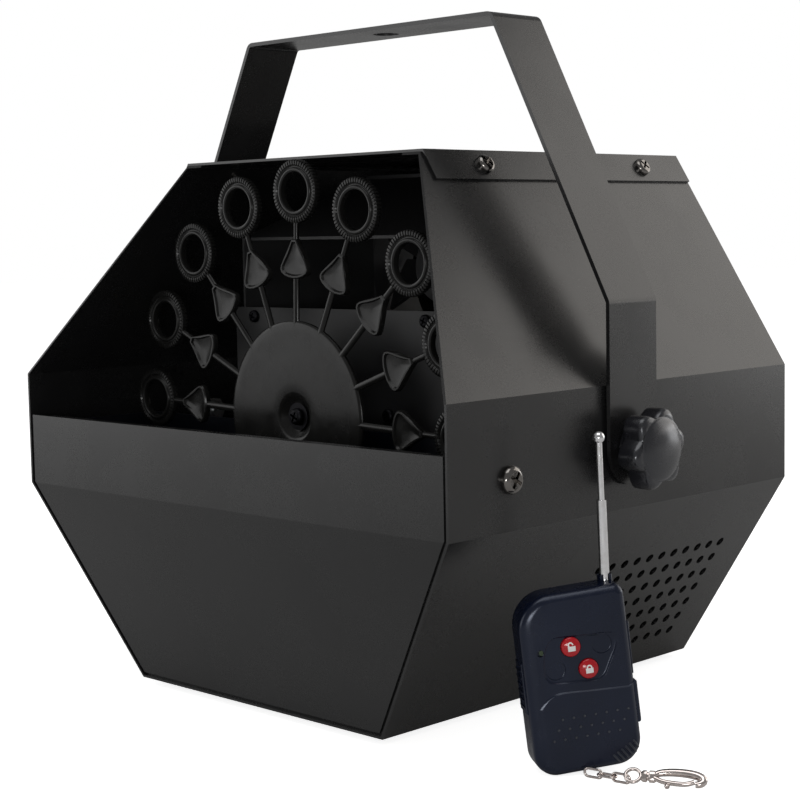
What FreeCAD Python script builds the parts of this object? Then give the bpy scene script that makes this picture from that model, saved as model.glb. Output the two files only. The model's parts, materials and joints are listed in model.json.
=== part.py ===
"""Bubble machine: folded steel casing, wand wheel, fan, mains electrics, tilting handle, remote control.

Millimetres. +Z is up, the mouth faces -Y. The origin lies on the floor, on the plane of symmetry,
at the middle of the casing's depth.
"""
import FreeCAD, Part
import math
import os

# ---- casing, outer sizes -------------------------------------------------------------------------
BELT_HALF = 122.0        # half-width at the vertical belt
TOP_HALF = 67.5          # half-width at the top
BASE_HALF = 71.0         # half-width at the bottom
FOOT_HEIGHT = 3.0
BASE_Z = FOOT_HEIGHT
LOW_FOLD_Z = BASE_Z + 80.0
HIGH_FOLD_Z = BASE_Z + 126.5
TOP_Z = BASE_Z + 213.5
DEPTH = 203.0
FRONT_Y = -DEPTH / 2
REAR_Y = DEPTH / 2
TOP_SETBACK = 47.0       # the mouth leans back by this much at the top
BASE_SETBACK = 17.5      # and the front panel by this much at the bottom
SHEET = 1.0
FLANGE = 9.0
PANEL_GAP = 1.3          # visible gap round the front panel
COVER_FLANGE = 12.5      # how far the cover folds down over each slope
MOUTH_LIP_Z = BASE_Z + 109.0

# ---- vents ---------------------------------------------------------------------------------------
VENT_PITCH = 8.0
VENT_R = 2.0
VENT_ROWS = 7
VENT_COLUMNS = 11
VENT_FIRST_DROP = 30.7   # first row, measured down the slope from the belt fold
VENT_LAST_Y = REAR_Y - 22.5

# ---- wand wheel ----------------------------------------------------------------------------------
WHEEL_Y = FRONT_Y + 43.3
WHEEL_Z = BASE_Z + 111.5
WHEEL_REST_TURN = 2.0    # degrees about +Y, where the wheel happens to have stopped
WAND_COUNT = 16
HUB_R = 38.0
HUB_THICKNESS = 2.0
DIMPLE_R = 9.0
DIMPLE_FLOOR_R = 6.0
DIMPLE_DEPTH = 2.6
BOSS_R = 8.0
BOSS_LENGTH = 11.0
RING_CENTRE_R = 88.5
RING_OUTER_R = 12.4
RING_INNER_R = 7.6
RING_THICKNESS = 3.5
RING_BEAD = 0.9          # width of the ring's inner and outer beads
RING_GROOVE = 1.0        # depth of the groove between them
STEM_WIDTH = 3.1
STEM_THICKNESS = 2.2
PADDLE_INNER_R = 55.0
PADDLE_OUTER_R = 70.0
PADDLE_WIDTH = 16.0
PADDLE_RIM = 1.3
PADDLE_DISH = 0.5
SHAFT_R = 3.0
RUNNING_GAP = 0.05       # radial play of a turning shaft

# ---- inner wall, duct, motor and fan -------------------------------------------------------------
BULKHEAD_Y = FRONT_Y + 66.0
BULKHEAD_SHEET = 1.2
BULKHEAD_HALF = 62.0
SHOULDER_Z = 100.0
SLOT_HALF = 57.0
SLOT_LOW_Z = BASE_Z + 153.0
SLOT_HIGH_Z = BASE_Z + 181.0
DUCT_WALL = 1.2
DUCT_LIP = 7.0
MOTOR_R = 25.0
MOTOR_LENGTH = 20.0
MOTOR_BOSS_R = 6.0
MOTOR_EAR_R = 29.0       # distance of the motor's two screws from its shaft
FAN_SIZE = 80.0
FAN_DEPTH = 25.0
FAN_Y = 23.5
FAN_Z = 171.0
FAN_BORE_R = 38.0
FAN_HOLE_PITCH = 71.5
ROTOR_HUB_R = 15.0
ROTOR_R = 36.5
BLADE_COUNT = 7

# ---- tank ----------------------------------------------------------------------------------------
TANK_WALL = 1.2
TANK_TOP_Z = 108.0
TANK_NOTCH = 6.0         # the sides are lower by this near the front, behind the lip
TANK_NOTCH_REACH = 22.0

# ---- handle --------------------------------------------------------------------------------------
PIVOT_Y = -4.0
PIVOT_Z = BASE_Z + 103.0
BAR_WIDTH = 28.0
BAR_THICKNESS = 1.6
ARM_INNER_X = BELT_HALF + 1.2
ARM_BEND_Z = BASE_Z + 157.0
BAR_TOP_Z = BASE_Z + 265.5
BAR_TOP_HALF = 70.0
HANG_HOLE_R = 5.25
STUD_R = 3.0
KNOB_R = 15.3
KNOB_LOBES = 6
LOBE_R = 5.0
KNOB_REST_TURN = -19.0   # degrees about +X, where the right knob happens to have stopped
NECK_R = 9.5
NECK_LENGTH = 3.0
GRIP_DEPTH = 9.2
KNOB_EDGE_R = 1.2
DOME_R = 40.0
DOME_EDGE_R = 11.4

# ---- remote control ------------------------------------------------------------------------------
REMOTE_WIDTH = 38.0
REMOTE_DEPTH = 14.0
REMOTE_HEIGHT = 63.0
REMOTE_WALL = 1.6
UPPER_LEFT_R = 12.0      # corner radii of the case, seen from its front
UPPER_RIGHT_R = 3.5
LOWER_RIGHT_R = 9.0
LOWER_LEFT_R = 8.0
REMOTE_TURN = 54.0       # degrees about the vertical
REMOTE_LEAN = 6.5        # degrees, tipped onto its lower left corner
REMOTE_PLACE = (142.0, -56.0)
AERIAL_X = 14.8
AERIAL_Y = 2.2
AERIAL_TILT = 4.5        # degrees between the aerial and the case
AERIAL_OUTER_R = 1.7
AERIAL_INNER_R = 1.1
AERIAL_OUTER_SHOWN = 28.0
AERIAL_INNER_SHOWN = 20.0
BUTTON_R = 3.4
BUTTON_PLACES = {"remote_button_on": (-2.1, 44.3), "remote_button_off": (3.2, 35.8)}
BLANK_PLACES = [(8.8, 43.6), (-8.2, 37.0)]      # moulded rounds where other models have buttons
LED_PLACE = (-12.3, 43.7)
CHAIN_TURN = 10.0        # degrees about the vertical: the way the key chain runs
CLASP_TURN = 28.0        # and the clasp at its end

X_AXIS = FreeCAD.Vector(1, 0, 0)
Y_AXIS = FreeCAD.Vector(0, 1, 0)
Z_AXIS = FreeCAD.Vector(0, 0, 1)
ORIGIN = FreeCAD.Vector(0, 0, 0)


# ---- helpers -------------------------------------------------------------------------------------
def vec(x, y, z):
    return FreeCAD.Vector(x, y, z)


def box(low, high):
    size = [b - a for a, b in zip(low, high)]
    return Part.makeBox(size[0], size[1], size[2], vec(*low))


def rod(start, axis, radius, length):
    return Part.makeCylinder(radius, length, vec(*start), axis)


def tube(start, axis, outer_r, inner_r, length):
    return rod(start, axis, outer_r, length).cut(rod(start, axis, inner_r, length))


def fuse(shapes):
    """Union of shapes, with seams between flush faces removed."""
    if len(shapes) == 1:
        return shapes[0]
    return shapes[0].multiFuse(shapes[1:]).removeSplitter()


def cut_all(shape, tools):
    return shape.cut(Part.makeCompound(tools))


def prism_y(points, y0, y1):
    """Solid from an (x, z) outline, between two depths."""
    corners = [vec(x, y0, z) for x, z in points]
    face = Part.Face(Part.makePolygon(corners + corners[:1]))
    return face.extrude(vec(0, y1 - y0, 0))


def prism_x(points, x0, x1):
    """Solid from a (y, z) outline, between two sideways positions."""
    corners = [vec(x0, y, z) for y, z in points]
    face = Part.Face(Part.makePolygon(corners + corners[:1]))
    return face.extrude(vec(x1 - x0, 0, 0))


def mirrored(shape):
    return shape.mirror(ORIGIN, X_AXIS)


def both_sides(shape):
    return [shape, mirrored(shape)]


def turned(shape, centre, axis, degrees):
    copy = shape.copy()
    copy.rotate(vec(*centre), axis, degrees)
    return copy


def inset(points, distance):
    """Outline moved inwards by a distance; the points run anticlockwise and are convex."""
    edges = []
    for (x0, z0), (x1, z1) in zip(points, points[1:] + points[:1]):
        length = math.hypot(x1 - x0, z1 - z0)
        nx, nz = -(z1 - z0) / length, (x1 - x0) / length
        edges.append((nx, nz, nx * x0 + nz * z0 + distance))
    moved = []
    for (a, b, c), (d, e, f) in zip(edges[-1:] + edges[:-1], edges):
        det = a * e - b * d
        moved.append(((c * e - b * f) / det, (a * f - c * d) / det))
    return moved


def screw(place, axis, head_size, shank_r, shank_length):
    """Domed cross-head screw; place is under the head, axis points from the work to the head."""
    head_r, head_h = head_size
    head = rod(place, axis, head_r, head_h)
    rim = [e for e in head.Edges if abs(e.CenterOfMass.sub(vec(*place)).dot(axis) - head_h) < 1e-6]
    head = head.makeFillet(head_h * 0.7, rim[:1])
    shank = rod(place, axis * -1, shank_r, shank_length)
    side = axis.cross(vec(0.36, 0.48, 0.8))
    side.normalize()
    across = axis.cross(side)
    top = vec(*place) + axis * head_h
    slots = []
    for along, wide in ((side, across), (across, side)):
        reach, half = along * (head_r * 0.62), wide * (head_r * 0.13)
        corners = [top + reach + half, top - reach + half, top - reach - half, top + reach - half]
        slot = Part.Face(Part.makePolygon(corners + corners[:1]))
        slots.append(slot.extrude(axis * (-0.65 * head_h)))
    return cut_all(fuse([head, shank]), slots)


# ---- casing outlines -----------------------------------------------------------------------------
def casing_outline():
    """Front-view outline of the folded wrap, anticlockwise seen from the front with +X to the right."""
    right = [(BASE_HALF, BASE_Z), (BELT_HALF, LOW_FOLD_Z), (BELT_HALF, HIGH_FOLD_Z),
             (TOP_HALF, TOP_Z - SHEET)]
    left = [(-x, z) for x, z in reversed(right)]
    return right + left


def side_outline(front_shift=0.0, top_z=TOP_Z):
    """Side-view outline with its front edge moved back by front_shift."""
    front = FRONT_Y + front_shift
    return [(front + BASE_SETBACK, BASE_Z), (REAR_Y, BASE_Z), (REAR_Y, top_z),
            (front + TOP_SETBACK, top_z), (front, HIGH_FOLD_Z), (front, LOW_FOLD_Z)]


def front_slab(shift, thickness):
    """Space that lies behind the casing's front edges by shift and is thickness deep, up to the lip."""
    front = FRONT_Y + shift
    back = front + thickness
    return prism_x([(front + BASE_SETBACK, BASE_Z), (back + BASE_SETBACK, BASE_Z), (back, LOW_FOLD_Z),
                    (back, MOUTH_LIP_Z), (front, MOUTH_LIP_Z), (front, LOW_FOLD_Z)],
                   -BELT_HALF, BELT_HALF)


def ring_prism(outer, inner, y0, y1):
    return prism_y(outer, y0, y1).cut(prism_y(inner, y0, y1))


def slope_length():
    return math.hypot(BELT_HALF - BASE_HALF, LOW_FOLD_Z - BASE_Z)


def lower_slope_point(drop):
    """Outer surface point (x, z) on the right lower slope, a distance down from the belt fold."""
    part = drop / slope_length()
    return (BELT_HALF + (BASE_HALF - BELT_HALF) * part, LOW_FOLD_Z + (BASE_Z - LOW_FOLD_Z) * part)


def lower_slope_normal():
    return vec(LOW_FOLD_Z - BASE_Z, 0, BASE_HALF - BELT_HALF).normalize()


def upper_slope_point(drop):
    """Outer surface point (x, z) on the right upper slope, a distance down from the top corner."""
    run = BELT_HALF - TOP_HALF
    rise = TOP_Z - SHEET - HIGH_FOLD_Z
    part = drop / math.hypot(run, rise)
    return (TOP_HALF + run * part, TOP_Z - SHEET - rise * part)


def upper_slope_normal():
    return vec(TOP_Z - SHEET - HIGH_FOLD_Z, 0, BELT_HALF - TOP_HALF).normalize()


def vent_holes():
    normal = lower_slope_normal()
    holes = []
    for row in range(VENT_ROWS):
        x, z = lower_slope_point(VENT_FIRST_DROP + row * VENT_PITCH)
        for column in range(VENT_COLUMNS):
            y = VENT_LAST_Y - column * VENT_PITCH
            start = vec(x, y, z) - normal * (3 * SHEET)
            holes.append(Part.makeCylinder(VENT_R, 6 * SHEET, start, normal))
    return holes


# ---- fixings laid out on the casing --------------------------------------------------------------
COVER_SCREW_YS = (FRONT_Y + 77.0, FRONT_Y + 174.0)
COVER_SCREW_DROP = 6.0
BELT_SCREW = (FRONT_Y + 31.3, BASE_Z + 98.0)
SLOPE_SCREW = (FRONT_Y + 146.0, 84.0)    # depth, and drop down the lower slope
REAR_SCREWS = [(side * x, z) for x, z in ((117.5, 106.0), (56.0, 208.0), (62.0, 9.0)) for side in (1, -1)]
FOOT_PLACES = [(side * 52.0, y) for y in (FRONT_Y + 42.0, REAR_Y - 22.0) for side in (1, -1)]
# head radius and height of the screws
COVER_HEAD = (3.8, 2.3)
BELT_HEAD = (5.0, 2.9)
SMALL_HEAD = (2.9, 1.9)
FINE_HEAD = (2.6, 1.7)
SCREW_SHANK_R = 1.9
SMALL_SHANK_R = 1.4
FOOT_STEM_R = 2.6
SPACER_PLACES = [(-42.0, 24.0), (42.0, 24.0), (-42.0, 76.0), (42.0, 76.0)]


def cover_screw_axes():
    """Place under the head and outward direction for the right-hand flange's screws."""
    x, z = upper_slope_point(COVER_SCREW_DROP)
    normal = upper_slope_normal()
    return [(vec(x, y, z) + normal * SHEET, normal) for y in COVER_SCREW_YS]


def casing_screw_holes():
    holes = []
    for place, normal in cover_screw_axes():
        holes.append(Part.makeCylinder(SCREW_SHANK_R, 12, place - normal * 8, normal))
    y, z = BELT_SCREW
    holes.append(rod((BELT_HALF - 8, y, z), X_AXIS, SCREW_SHANK_R, 12))
    y, drop = SLOPE_SCREW
    x, z = lower_slope_point(drop)
    normal = lower_slope_normal()
    holes.append(Part.makeCylinder(SMALL_SHANK_R, 12, vec(x, y, z) - normal * 8, normal))
    holes.append(rod((BELT_HALF - 8, PIVOT_Y, PIVOT_Z), X_AXIS, STUD_R + 0.4, 12))
    holes += [mirrored(hole) for hole in holes]
    return holes


# ---- casing nodes --------------------------------------------------------------------------------
def housing_shell():
    outer = casing_outline()
    inner = inset(outer, SHEET)
    flange_line = inset(outer, SHEET + FLANGE)
    wrap = ring_prism(outer, inner, FRONT_Y, REAR_Y)
    opening_half = TOP_HALF - FLANGE
    wrap = wrap.cut(box((-opening_half, FRONT_Y, TOP_Z - 3 * SHEET), (opening_half, REAR_Y, TOP_Z)))
    wrap = wrap.common(prism_x(side_outline(), -BELT_HALF, BELT_HALF))
    band = ring_prism(inner, flange_line, FRONT_Y, REAR_Y)
    front_flange = band.common(front_slab(0.3 + SHEET, SHEET))
    rear_flange = ring_prism(inner, flange_line, REAR_Y - 2 * SHEET, REAR_Y - SHEET)
    shell = fuse([wrap, front_flange, rear_flange])
    feet = [rod((x, y, 0), Z_AXIS, FOOT_STEM_R, 12) for x, y in FOOT_PLACES]
    spacers = [rod((x, y, 0), Z_AXIS, SMALL_SHANK_R, 12) for x, y in SPACER_PLACES]
    rear_screws = [rod((x, REAR_Y - 5, z), Y_AXIS, SMALL_SHANK_R, 9) for x, z in REAR_SCREWS]
    vents = vent_holes()
    vents += [mirrored(hole) for hole in vents]
    return cut_all(shell, vents + feet + spacers + rear_screws + casing_screw_holes())


def top_cover():
    front = FRONT_Y + TOP_SETBACK
    x, z = upper_slope_point(0)
    low_x, low_z = upper_slope_point(COVER_FLANGE)
    normal = upper_slope_normal()
    corner_x = x + normal.x * SHEET + (SHEET - normal.z * SHEET) * (low_x - x) / (low_z - z)
    plate = [(corner_x, TOP_Z), (-corner_x, TOP_Z), (-x, z), (x, z)]
    flange = [(x, z), (low_x, low_z),
              (low_x + normal.x * SHEET, low_z + normal.z * SHEET), (corner_x, TOP_Z)]
    right = prism_y(flange, front, REAR_Y)
    cover = fuse([prism_y(plate, front, REAR_Y), right, mirrored(right)])
    return cut_all(cover, casing_screw_holes())


def front_panel():
    outline = inset(casing_outline(), SHEET + PANEL_GAP)
    panel = prism_y(outline, FRONT_Y, FRONT_Y + 40).common(front_slab(0.3, SHEET))
    lip_half = BELT_HALF - SHEET - FLANGE - 1
    lip = box((-lip_half, FRONT_Y + 0.3, MOUTH_LIP_Z - SHEET), (lip_half, FRONT_Y + 4.5, MOUTH_LIP_Z))
    return fuse([panel, lip])


def rear_cutouts():
    """Openings through the rear panel for the mains inlet, the switch, the fuse holder and intake air."""
    holes = [box((INLET_X - 13.6, REAR_Y - 5, ROW_Z - 10), (INLET_X + 13.6, REAR_Y + 5, ROW_Z + 10)),
             box((SWITCH_X - 9.6, REAR_Y - 5, ROW_Z - 6.5), (SWITCH_X + 9.6, REAR_Y + 5, ROW_Z + 6.5)),
             rod((FUSE_X, REAR_Y - 5, ROW_Z), Y_AXIS, 6.1, 10)]
    reach = int(FAN_BORE_R // VENT_PITCH)
    for column in range(-reach, reach + 1):
        for row in range(-reach, reach + 1):
            dx, dz = column * VENT_PITCH, row * VENT_PITCH
            if math.hypot(dx, dz) <= FAN_BORE_R:
                holes.append(rod((dx, REAR_Y - 5, FAN_Z - 6 + dz), Y_AXIS, VENT_R + 0.5, 10))
    for dx in (-20.0, 20.0):
        holes.append(rod((INLET_X + dx, REAR_Y - 5, ROW_Z), Y_AXIS, SMALL_SHANK_R, 10))
    return holes


def rear_panel():
    outline = inset(casing_outline(), SHEET + 0.3)
    panel = prism_y(outline, REAR_Y - SHEET, REAR_Y)
    # the top edge rises between the wrap's two flanges, up to the cover
    half = TOP_HALF - FLANGE - 0.3
    ridge = box((-half, REAR_Y - SHEET, TOP_Z - 4 * SHEET), (half, REAR_Y, TOP_Z - SHEET - 0.2))
    screws = [rod((x, REAR_Y - 5, z), Y_AXIS, SMALL_SHANK_R, 10) for x, z in REAR_SCREWS]
    return cut_all(fuse([panel, ridge]), rear_cutouts() + screws)


def cover_screws():
    screws = []
    for place, normal in cover_screw_axes():
        one = screw(tuple(place), normal, COVER_HEAD, SCREW_SHANK_R, 7.0)
        screws += both_sides(one)
    return Part.makeCompound(screws)


def belt_screws():
    y, z = BELT_SCREW
    return Part.makeCompound(both_sides(screw((BELT_HALF, y, z), X_AXIS, BELT_HEAD, SCREW_SHANK_R, 6.0)))


def slope_screws():
    y, drop = SLOPE_SCREW
    x, z = lower_slope_point(drop)
    one = screw((x, y, z), lower_slope_normal(), SMALL_HEAD, SMALL_SHANK_R, 5.0)
    return Part.makeCompound(both_sides(one))


def rear_screws():
    return Part.makeCompound([screw((x, REAR_Y, z), Y_AXIS, SMALL_HEAD, SMALL_SHANK_R, 4.5)
                              for x, z in REAR_SCREWS])


def feet():
    one = []
    for x, y in FOOT_PLACES:
        pad = rod((x, y, 0), Z_AXIS, 7.0, FOOT_HEIGHT)
        rim = [e for e in pad.Edges if e.CenterOfMass.z < 0.01]
        pad = pad.makeChamfer(0.8, rim[:1])
        stem = rod((x, y, FOOT_HEIGHT), Z_AXIS, FOOT_STEM_R, SHEET)
        barb = Part.makeCone(3.6, 2.2, 2.2, vec(x, y, FOOT_HEIGHT + SHEET), Z_AXIS)
        one.append(fuse([pad, stem, barb]))
    return Part.makeCompound(one)


# ---- tank and inner wall -------------------------------------------------------------------------
TANK_FRONT = FRONT_Y + 3.2
TANK_BACK = BULKHEAD_Y - 0.2


def tank_space(grow):
    """Solid the size of the tank's outside, or its inside when grow is minus the wall."""
    outline = inset(casing_outline(), SHEET - grow)
    front, back, base = TANK_FRONT - grow, TANK_BACK + grow, BASE_Z + SHEET - grow
    side = [(front + BASE_SETBACK, base), (back, base), (back, TANK_TOP_Z), (front, TANK_TOP_Z),
            (front, LOW_FOLD_Z)]
    return prism_y(outline, FRONT_Y, REAR_Y).common(prism_x(side, -BELT_HALF, BELT_HALF))


def fluid_tank():
    tank = tank_space(0.0).cut(tank_space(-TANK_WALL))
    tank = tank.cut(box((-BELT_HALF, TANK_FRONT + TANK_WALL, TANK_TOP_Z - TANK_NOTCH),
                        (BELT_HALF, TANK_FRONT + TANK_NOTCH_REACH, HIGH_FOLD_Z)))
    feet_barbs = [rod((x, y, 0), Z_AXIS, 4.2, 7.0) for x, y in FOOT_PLACES]
    return cut_all(tank, feet_barbs + casing_screw_holes())


def bulkhead():
    """Inner wall: full width low down, narrower above, up to the lower edge of the air duct."""
    inner = inset(casing_outline(), SHEET)
    back = BULKHEAD_Y + BULKHEAD_SHEET
    low = prism_y(inner, BULKHEAD_Y, back).common(
        box((-BELT_HALF, BULKHEAD_Y, BASE_Z), (BELT_HALF, back, SHOULDER_Z)))
    high = box((-BULKHEAD_HALF, BULKHEAD_Y, SHOULDER_Z), (BULKHEAD_HALF, back, SLOT_LOW_Z))
    floor_half = BASE_HALF - FLANGE + 1
    floor_tab = box((-floor_half, back, BASE_Z + SHEET), (floor_half, back + FLANGE, BASE_Z + 2 * SHEET))
    wall = fuse([low, high, floor_tab])
    holes = [rod((0, BULKHEAD_Y - 1, WHEEL_Z), Y_AXIS, MOTOR_BOSS_R + 0.5, 4)]
    holes += [rod((dx, BULKHEAD_Y - 8, WHEEL_Z), Y_AXIS, SMALL_SHANK_R, 14)
              for dx in (-MOTOR_EAR_R, MOTOR_EAR_R)]
    holes += [rod((x, BULKHEAD_Y - 8, z), Y_AXIS, SMALL_SHANK_R, 14) for x, z in DUCT_SCREWS]
    return cut_all(wall, holes)


DUCT_SCREWS = [(side * 50.0, SLOT_LOW_Z - 3.8) for side in (-1, 1)]
DUCT_FRONT = BULKHEAD_Y + BULKHEAD_SHEET


def rectangle_wire(half, low, high, y):
    corners = [vec(-half, y, low), vec(half, y, low), vec(half, y, high), vec(-half, y, high)]
    return Part.makePolygon(corners + corners[:1])


def air_duct():
    """Sheet nozzle that flattens the fan's round stream into a slot above the inner wall.

    It is screwed to the wall by a lip along its lower edge, and to the fan by a square flange.
    """
    half_fan = FAN_SIZE / 2
    reach = half_fan - 1
    outer = Part.makeLoft([
        rectangle_wire(SLOT_HALF + DUCT_WALL, SLOT_LOW_Z - DUCT_WALL, SLOT_HIGH_Z + DUCT_WALL, DUCT_FRONT),
        rectangle_wire(reach, FAN_Z - reach, FAN_Z + reach, FAN_Y)], True, True)
    reach -= DUCT_WALL
    inner = Part.makeLoft([
        rectangle_wire(SLOT_HALF, SLOT_LOW_Z, SLOT_HIGH_Z, DUCT_FRONT),
        rectangle_wire(reach, FAN_Z - reach, FAN_Z + reach, FAN_Y)], True, True)
    lip = box((-BULKHEAD_HALF + 1, DUCT_FRONT, SLOT_LOW_Z - DUCT_LIP),
              (BULKHEAD_HALF - 1, DUCT_FRONT + DUCT_WALL, SLOT_LOW_Z))
    rear_flange = box((-half_fan, FAN_Y - DUCT_WALL, FAN_Z - half_fan), (half_fan, FAN_Y, FAN_Z + half_fan))
    duct = fuse([outer, lip, rear_flange]).cut(inner)
    holes = [rod((x, DUCT_FRONT - 5, z), Y_AXIS, SMALL_SHANK_R, 12) for x, z in DUCT_SCREWS]
    holes += [rod((x, FAN_Y - 8, z), Y_AXIS, SMALL_SHANK_R, 10) for x, z in fan_holes()]
    return cut_all(duct, holes)


def duct_screws():
    return Part.makeCompound([screw((x, BULKHEAD_Y, z), Y_AXIS * -1, FINE_HEAD, SMALL_SHANK_R, 5.0)
                              for x, z in DUCT_SCREWS])


# ---- wheel drive ---------------------------------------------------------------------------------
def gear_motor():
    can = rod((0, DUCT_FRONT, WHEEL_Z), Y_AXIS, MOTOR_R, MOTOR_LENGTH)
    boss = rod((0, DUCT_FRONT - 3, WHEEL_Z), Y_AXIS, MOTOR_BOSS_R, 3)
    ear_end = MOTOR_EAR_R + 4
    ear = box((-ear_end, DUCT_FRONT, WHEEL_Z - 4), (ear_end, DUCT_FRONT + 1.5, WHEEL_Z + 4))
    gearbox = rod((0, DUCT_FRONT + MOTOR_LENGTH, WHEEL_Z), Y_AXIS, MOTOR_R - 4, 3)
    terminals = box((-6, DUCT_FRONT + 6, WHEEL_Z - MOTOR_R - 5), (6, DUCT_FRONT + 16, WHEEL_Z - MOTOR_R + 1))
    motor = fuse([can, boss, ear, gearbox, terminals])
    holes = [rod((0, DUCT_FRONT - 4, WHEEL_Z), Y_AXIS, SHAFT_R + RUNNING_GAP, 16)]
    holes += [rod((dx, DUCT_FRONT - 1, WHEEL_Z), Y_AXIS, SMALL_SHANK_R, 4)
              for dx in (-MOTOR_EAR_R, MOTOR_EAR_R)]
    return cut_all(motor, holes)


def motor_screws():
    return Part.makeCompound([screw((dx, BULKHEAD_Y, WHEEL_Z), Y_AXIS * -1, SMALL_HEAD, SMALL_SHANK_R, 4.0)
                              for dx in (-MOTOR_EAR_R, MOTOR_EAR_R)])


SHAFT_FRONT = WHEEL_Y - HUB_THICKNESS / 2 + DIMPLE_DEPTH
SHAFT_BACK = DUCT_FRONT + 11.0


def wheel_shaft():
    shaft = rod((0, SHAFT_FRONT, WHEEL_Z), Y_AXIS, SHAFT_R, SHAFT_BACK - SHAFT_FRONT)
    return shaft.cut(rod((0, SHAFT_FRONT, WHEEL_Z), Y_AXIS, SMALL_SHANK_R, 9))


def wand():
    """One upright wand: stem, rimmed paddle, neck and ring."""
    front = WHEEL_Y - STEM_THICKNESS / 2
    back = front + STEM_THICKNESS
    half = STEM_WIDTH / 2
    thin = half * 0.8
    stem = box((-half, front, WHEEL_Z + HUB_R - 2), (half, back, WHEEL_Z + PADDLE_INNER_R + 1))
    neck = box((-thin, front, WHEEL_Z + PADDLE_OUTER_R - 3),
               (thin, back, WHEEL_Z + RING_CENTRE_R - RING_OUTER_R + 1))
    base, tip = WHEEL_Z + PADDLE_INNER_R, WHEEL_Z + PADDLE_OUTER_R
    waist_x, waist_z = PADDLE_WIDTH * 0.34, (base + tip) / 2 + 0.5
    paddle_line = [(-PADDLE_WIDTH / 2, base + 2.5), (0, base), (PADDLE_WIDTH / 2, base + 2.5),
                   (waist_x, waist_z), (0.9, tip), (-0.9, tip), (-waist_x, waist_z)]
    paddle = prism_y(paddle_line, front - PADDLE_DISH, back)
    dish = prism_y(inset(paddle_line, PADDLE_RIM), front - PADDLE_DISH, front)
    ring_front = WHEEL_Y - RING_THICKNESS / 2
    ring_z = WHEEL_Z + RING_CENTRE_R
    ring = tube((0, ring_front, ring_z), Y_AXIS, RING_OUTER_R, RING_INNER_R, RING_THICKNESS)
    grooves = [tube((0, y, ring_z), Y_AXIS, RING_OUTER_R - RING_BEAD, RING_INNER_R + RING_BEAD, RING_GROOVE)
               for y in (ring_front, ring_front + RING_THICKNESS - RING_GROOVE)]
    return fuse([stem, neck, paddle.cut(dish), cut_all(ring, grooves)])


def wand_wheel():
    front = WHEEL_Y - HUB_THICKNESS / 2
    disc = rod((0, front, WHEEL_Z), Y_AXIS, HUB_R, HUB_THICKNESS)
    boss = rod((0, front, WHEEL_Z), Y_AXIS, BOSS_R, BOSS_LENGTH)
    hub = disc.fuse(boss)
    hub = hub.cut(Part.makeCone(DIMPLE_R, DIMPLE_FLOOR_R, DIMPLE_DEPTH, vec(0, front, WHEEL_Z), Y_AXIS))
    one = wand()
    angles = [WHEEL_REST_TURN + 360.0 * i / WAND_COUNT for i in range(WAND_COUNT)]
    wands = [turned(one, (0, WHEEL_Y, WHEEL_Z), Y_AXIS, angle) for angle in angles]
    wheel = fuse([hub] + wands)
    return wheel.cut(rod((0, front - 1, WHEEL_Z), Y_AXIS, SHAFT_R, BOSS_LENGTH + 2))


def hub_screw():
    front = SHAFT_FRONT
    return screw((0, front - 0.8, WHEEL_Z), Y_AXIS * -1, (3.4, 2.4), SMALL_SHANK_R, 8.0)


def hub_washer():
    return tube((0, SHAFT_FRONT - 0.8, WHEEL_Z), Y_AXIS, 5.5, SMALL_SHANK_R, 0.8)


# ---- fan -----------------------------------------------------------------------------------------
def fan_holes():
    half = FAN_HOLE_PITCH / 2
    return [(sx * half, FAN_Z + sz * half) for sx in (-1, 1) for sz in (-1, 1)]


def fan_frame():
    half = FAN_SIZE / 2
    frame = box((-half, FAN_Y, FAN_Z - half), (half, FAN_Y + FAN_DEPTH, FAN_Z + half))
    frame = frame.cut(rod((0, FAN_Y - 1, FAN_Z), Y_AXIS, FAN_BORE_R, FAN_DEPTH + 2))
    past = half + 1
    waist = frame.cut(box((-past, FAN_Y + 4, FAN_Z - past), (past, FAN_Y + FAN_DEPTH - 4, FAN_Z + past)))
    barrel = tube((0, FAN_Y, FAN_Z), Y_AXIS, half - 0.5, FAN_BORE_R, FAN_DEPTH)
    back = FAN_Y + FAN_DEPTH - 3.0
    hub = rod((0, back, FAN_Z), Y_AXIS, ROTOR_HUB_R, 3.0)
    pillar = rod((0, FAN_Y + 8, FAN_Z), Y_AXIS, 4.0, back - FAN_Y - 8)
    struts = []
    for i in range(4):
        strut = box((ROTOR_HUB_R - 1, back, FAN_Z - 1.5), (FAN_BORE_R + 1, back + 3.0, FAN_Z + 1.5))
        struts.append(turned(strut, (0, 0, FAN_Z), Y_AXIS, 45 + 90 * i))
    body = fuse([waist, barrel, hub, pillar] + struts)
    holes = [rod((x, FAN_Y - 1, z), Y_AXIS, SMALL_SHANK_R + 0.3, FAN_DEPTH + 2) for x, z in fan_holes()]
    holes.append(rod((0, FAN_Y + 7, FAN_Z), Y_AXIS, 1.5 + RUNNING_GAP, 12))
    return cut_all(body, holes)


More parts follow.
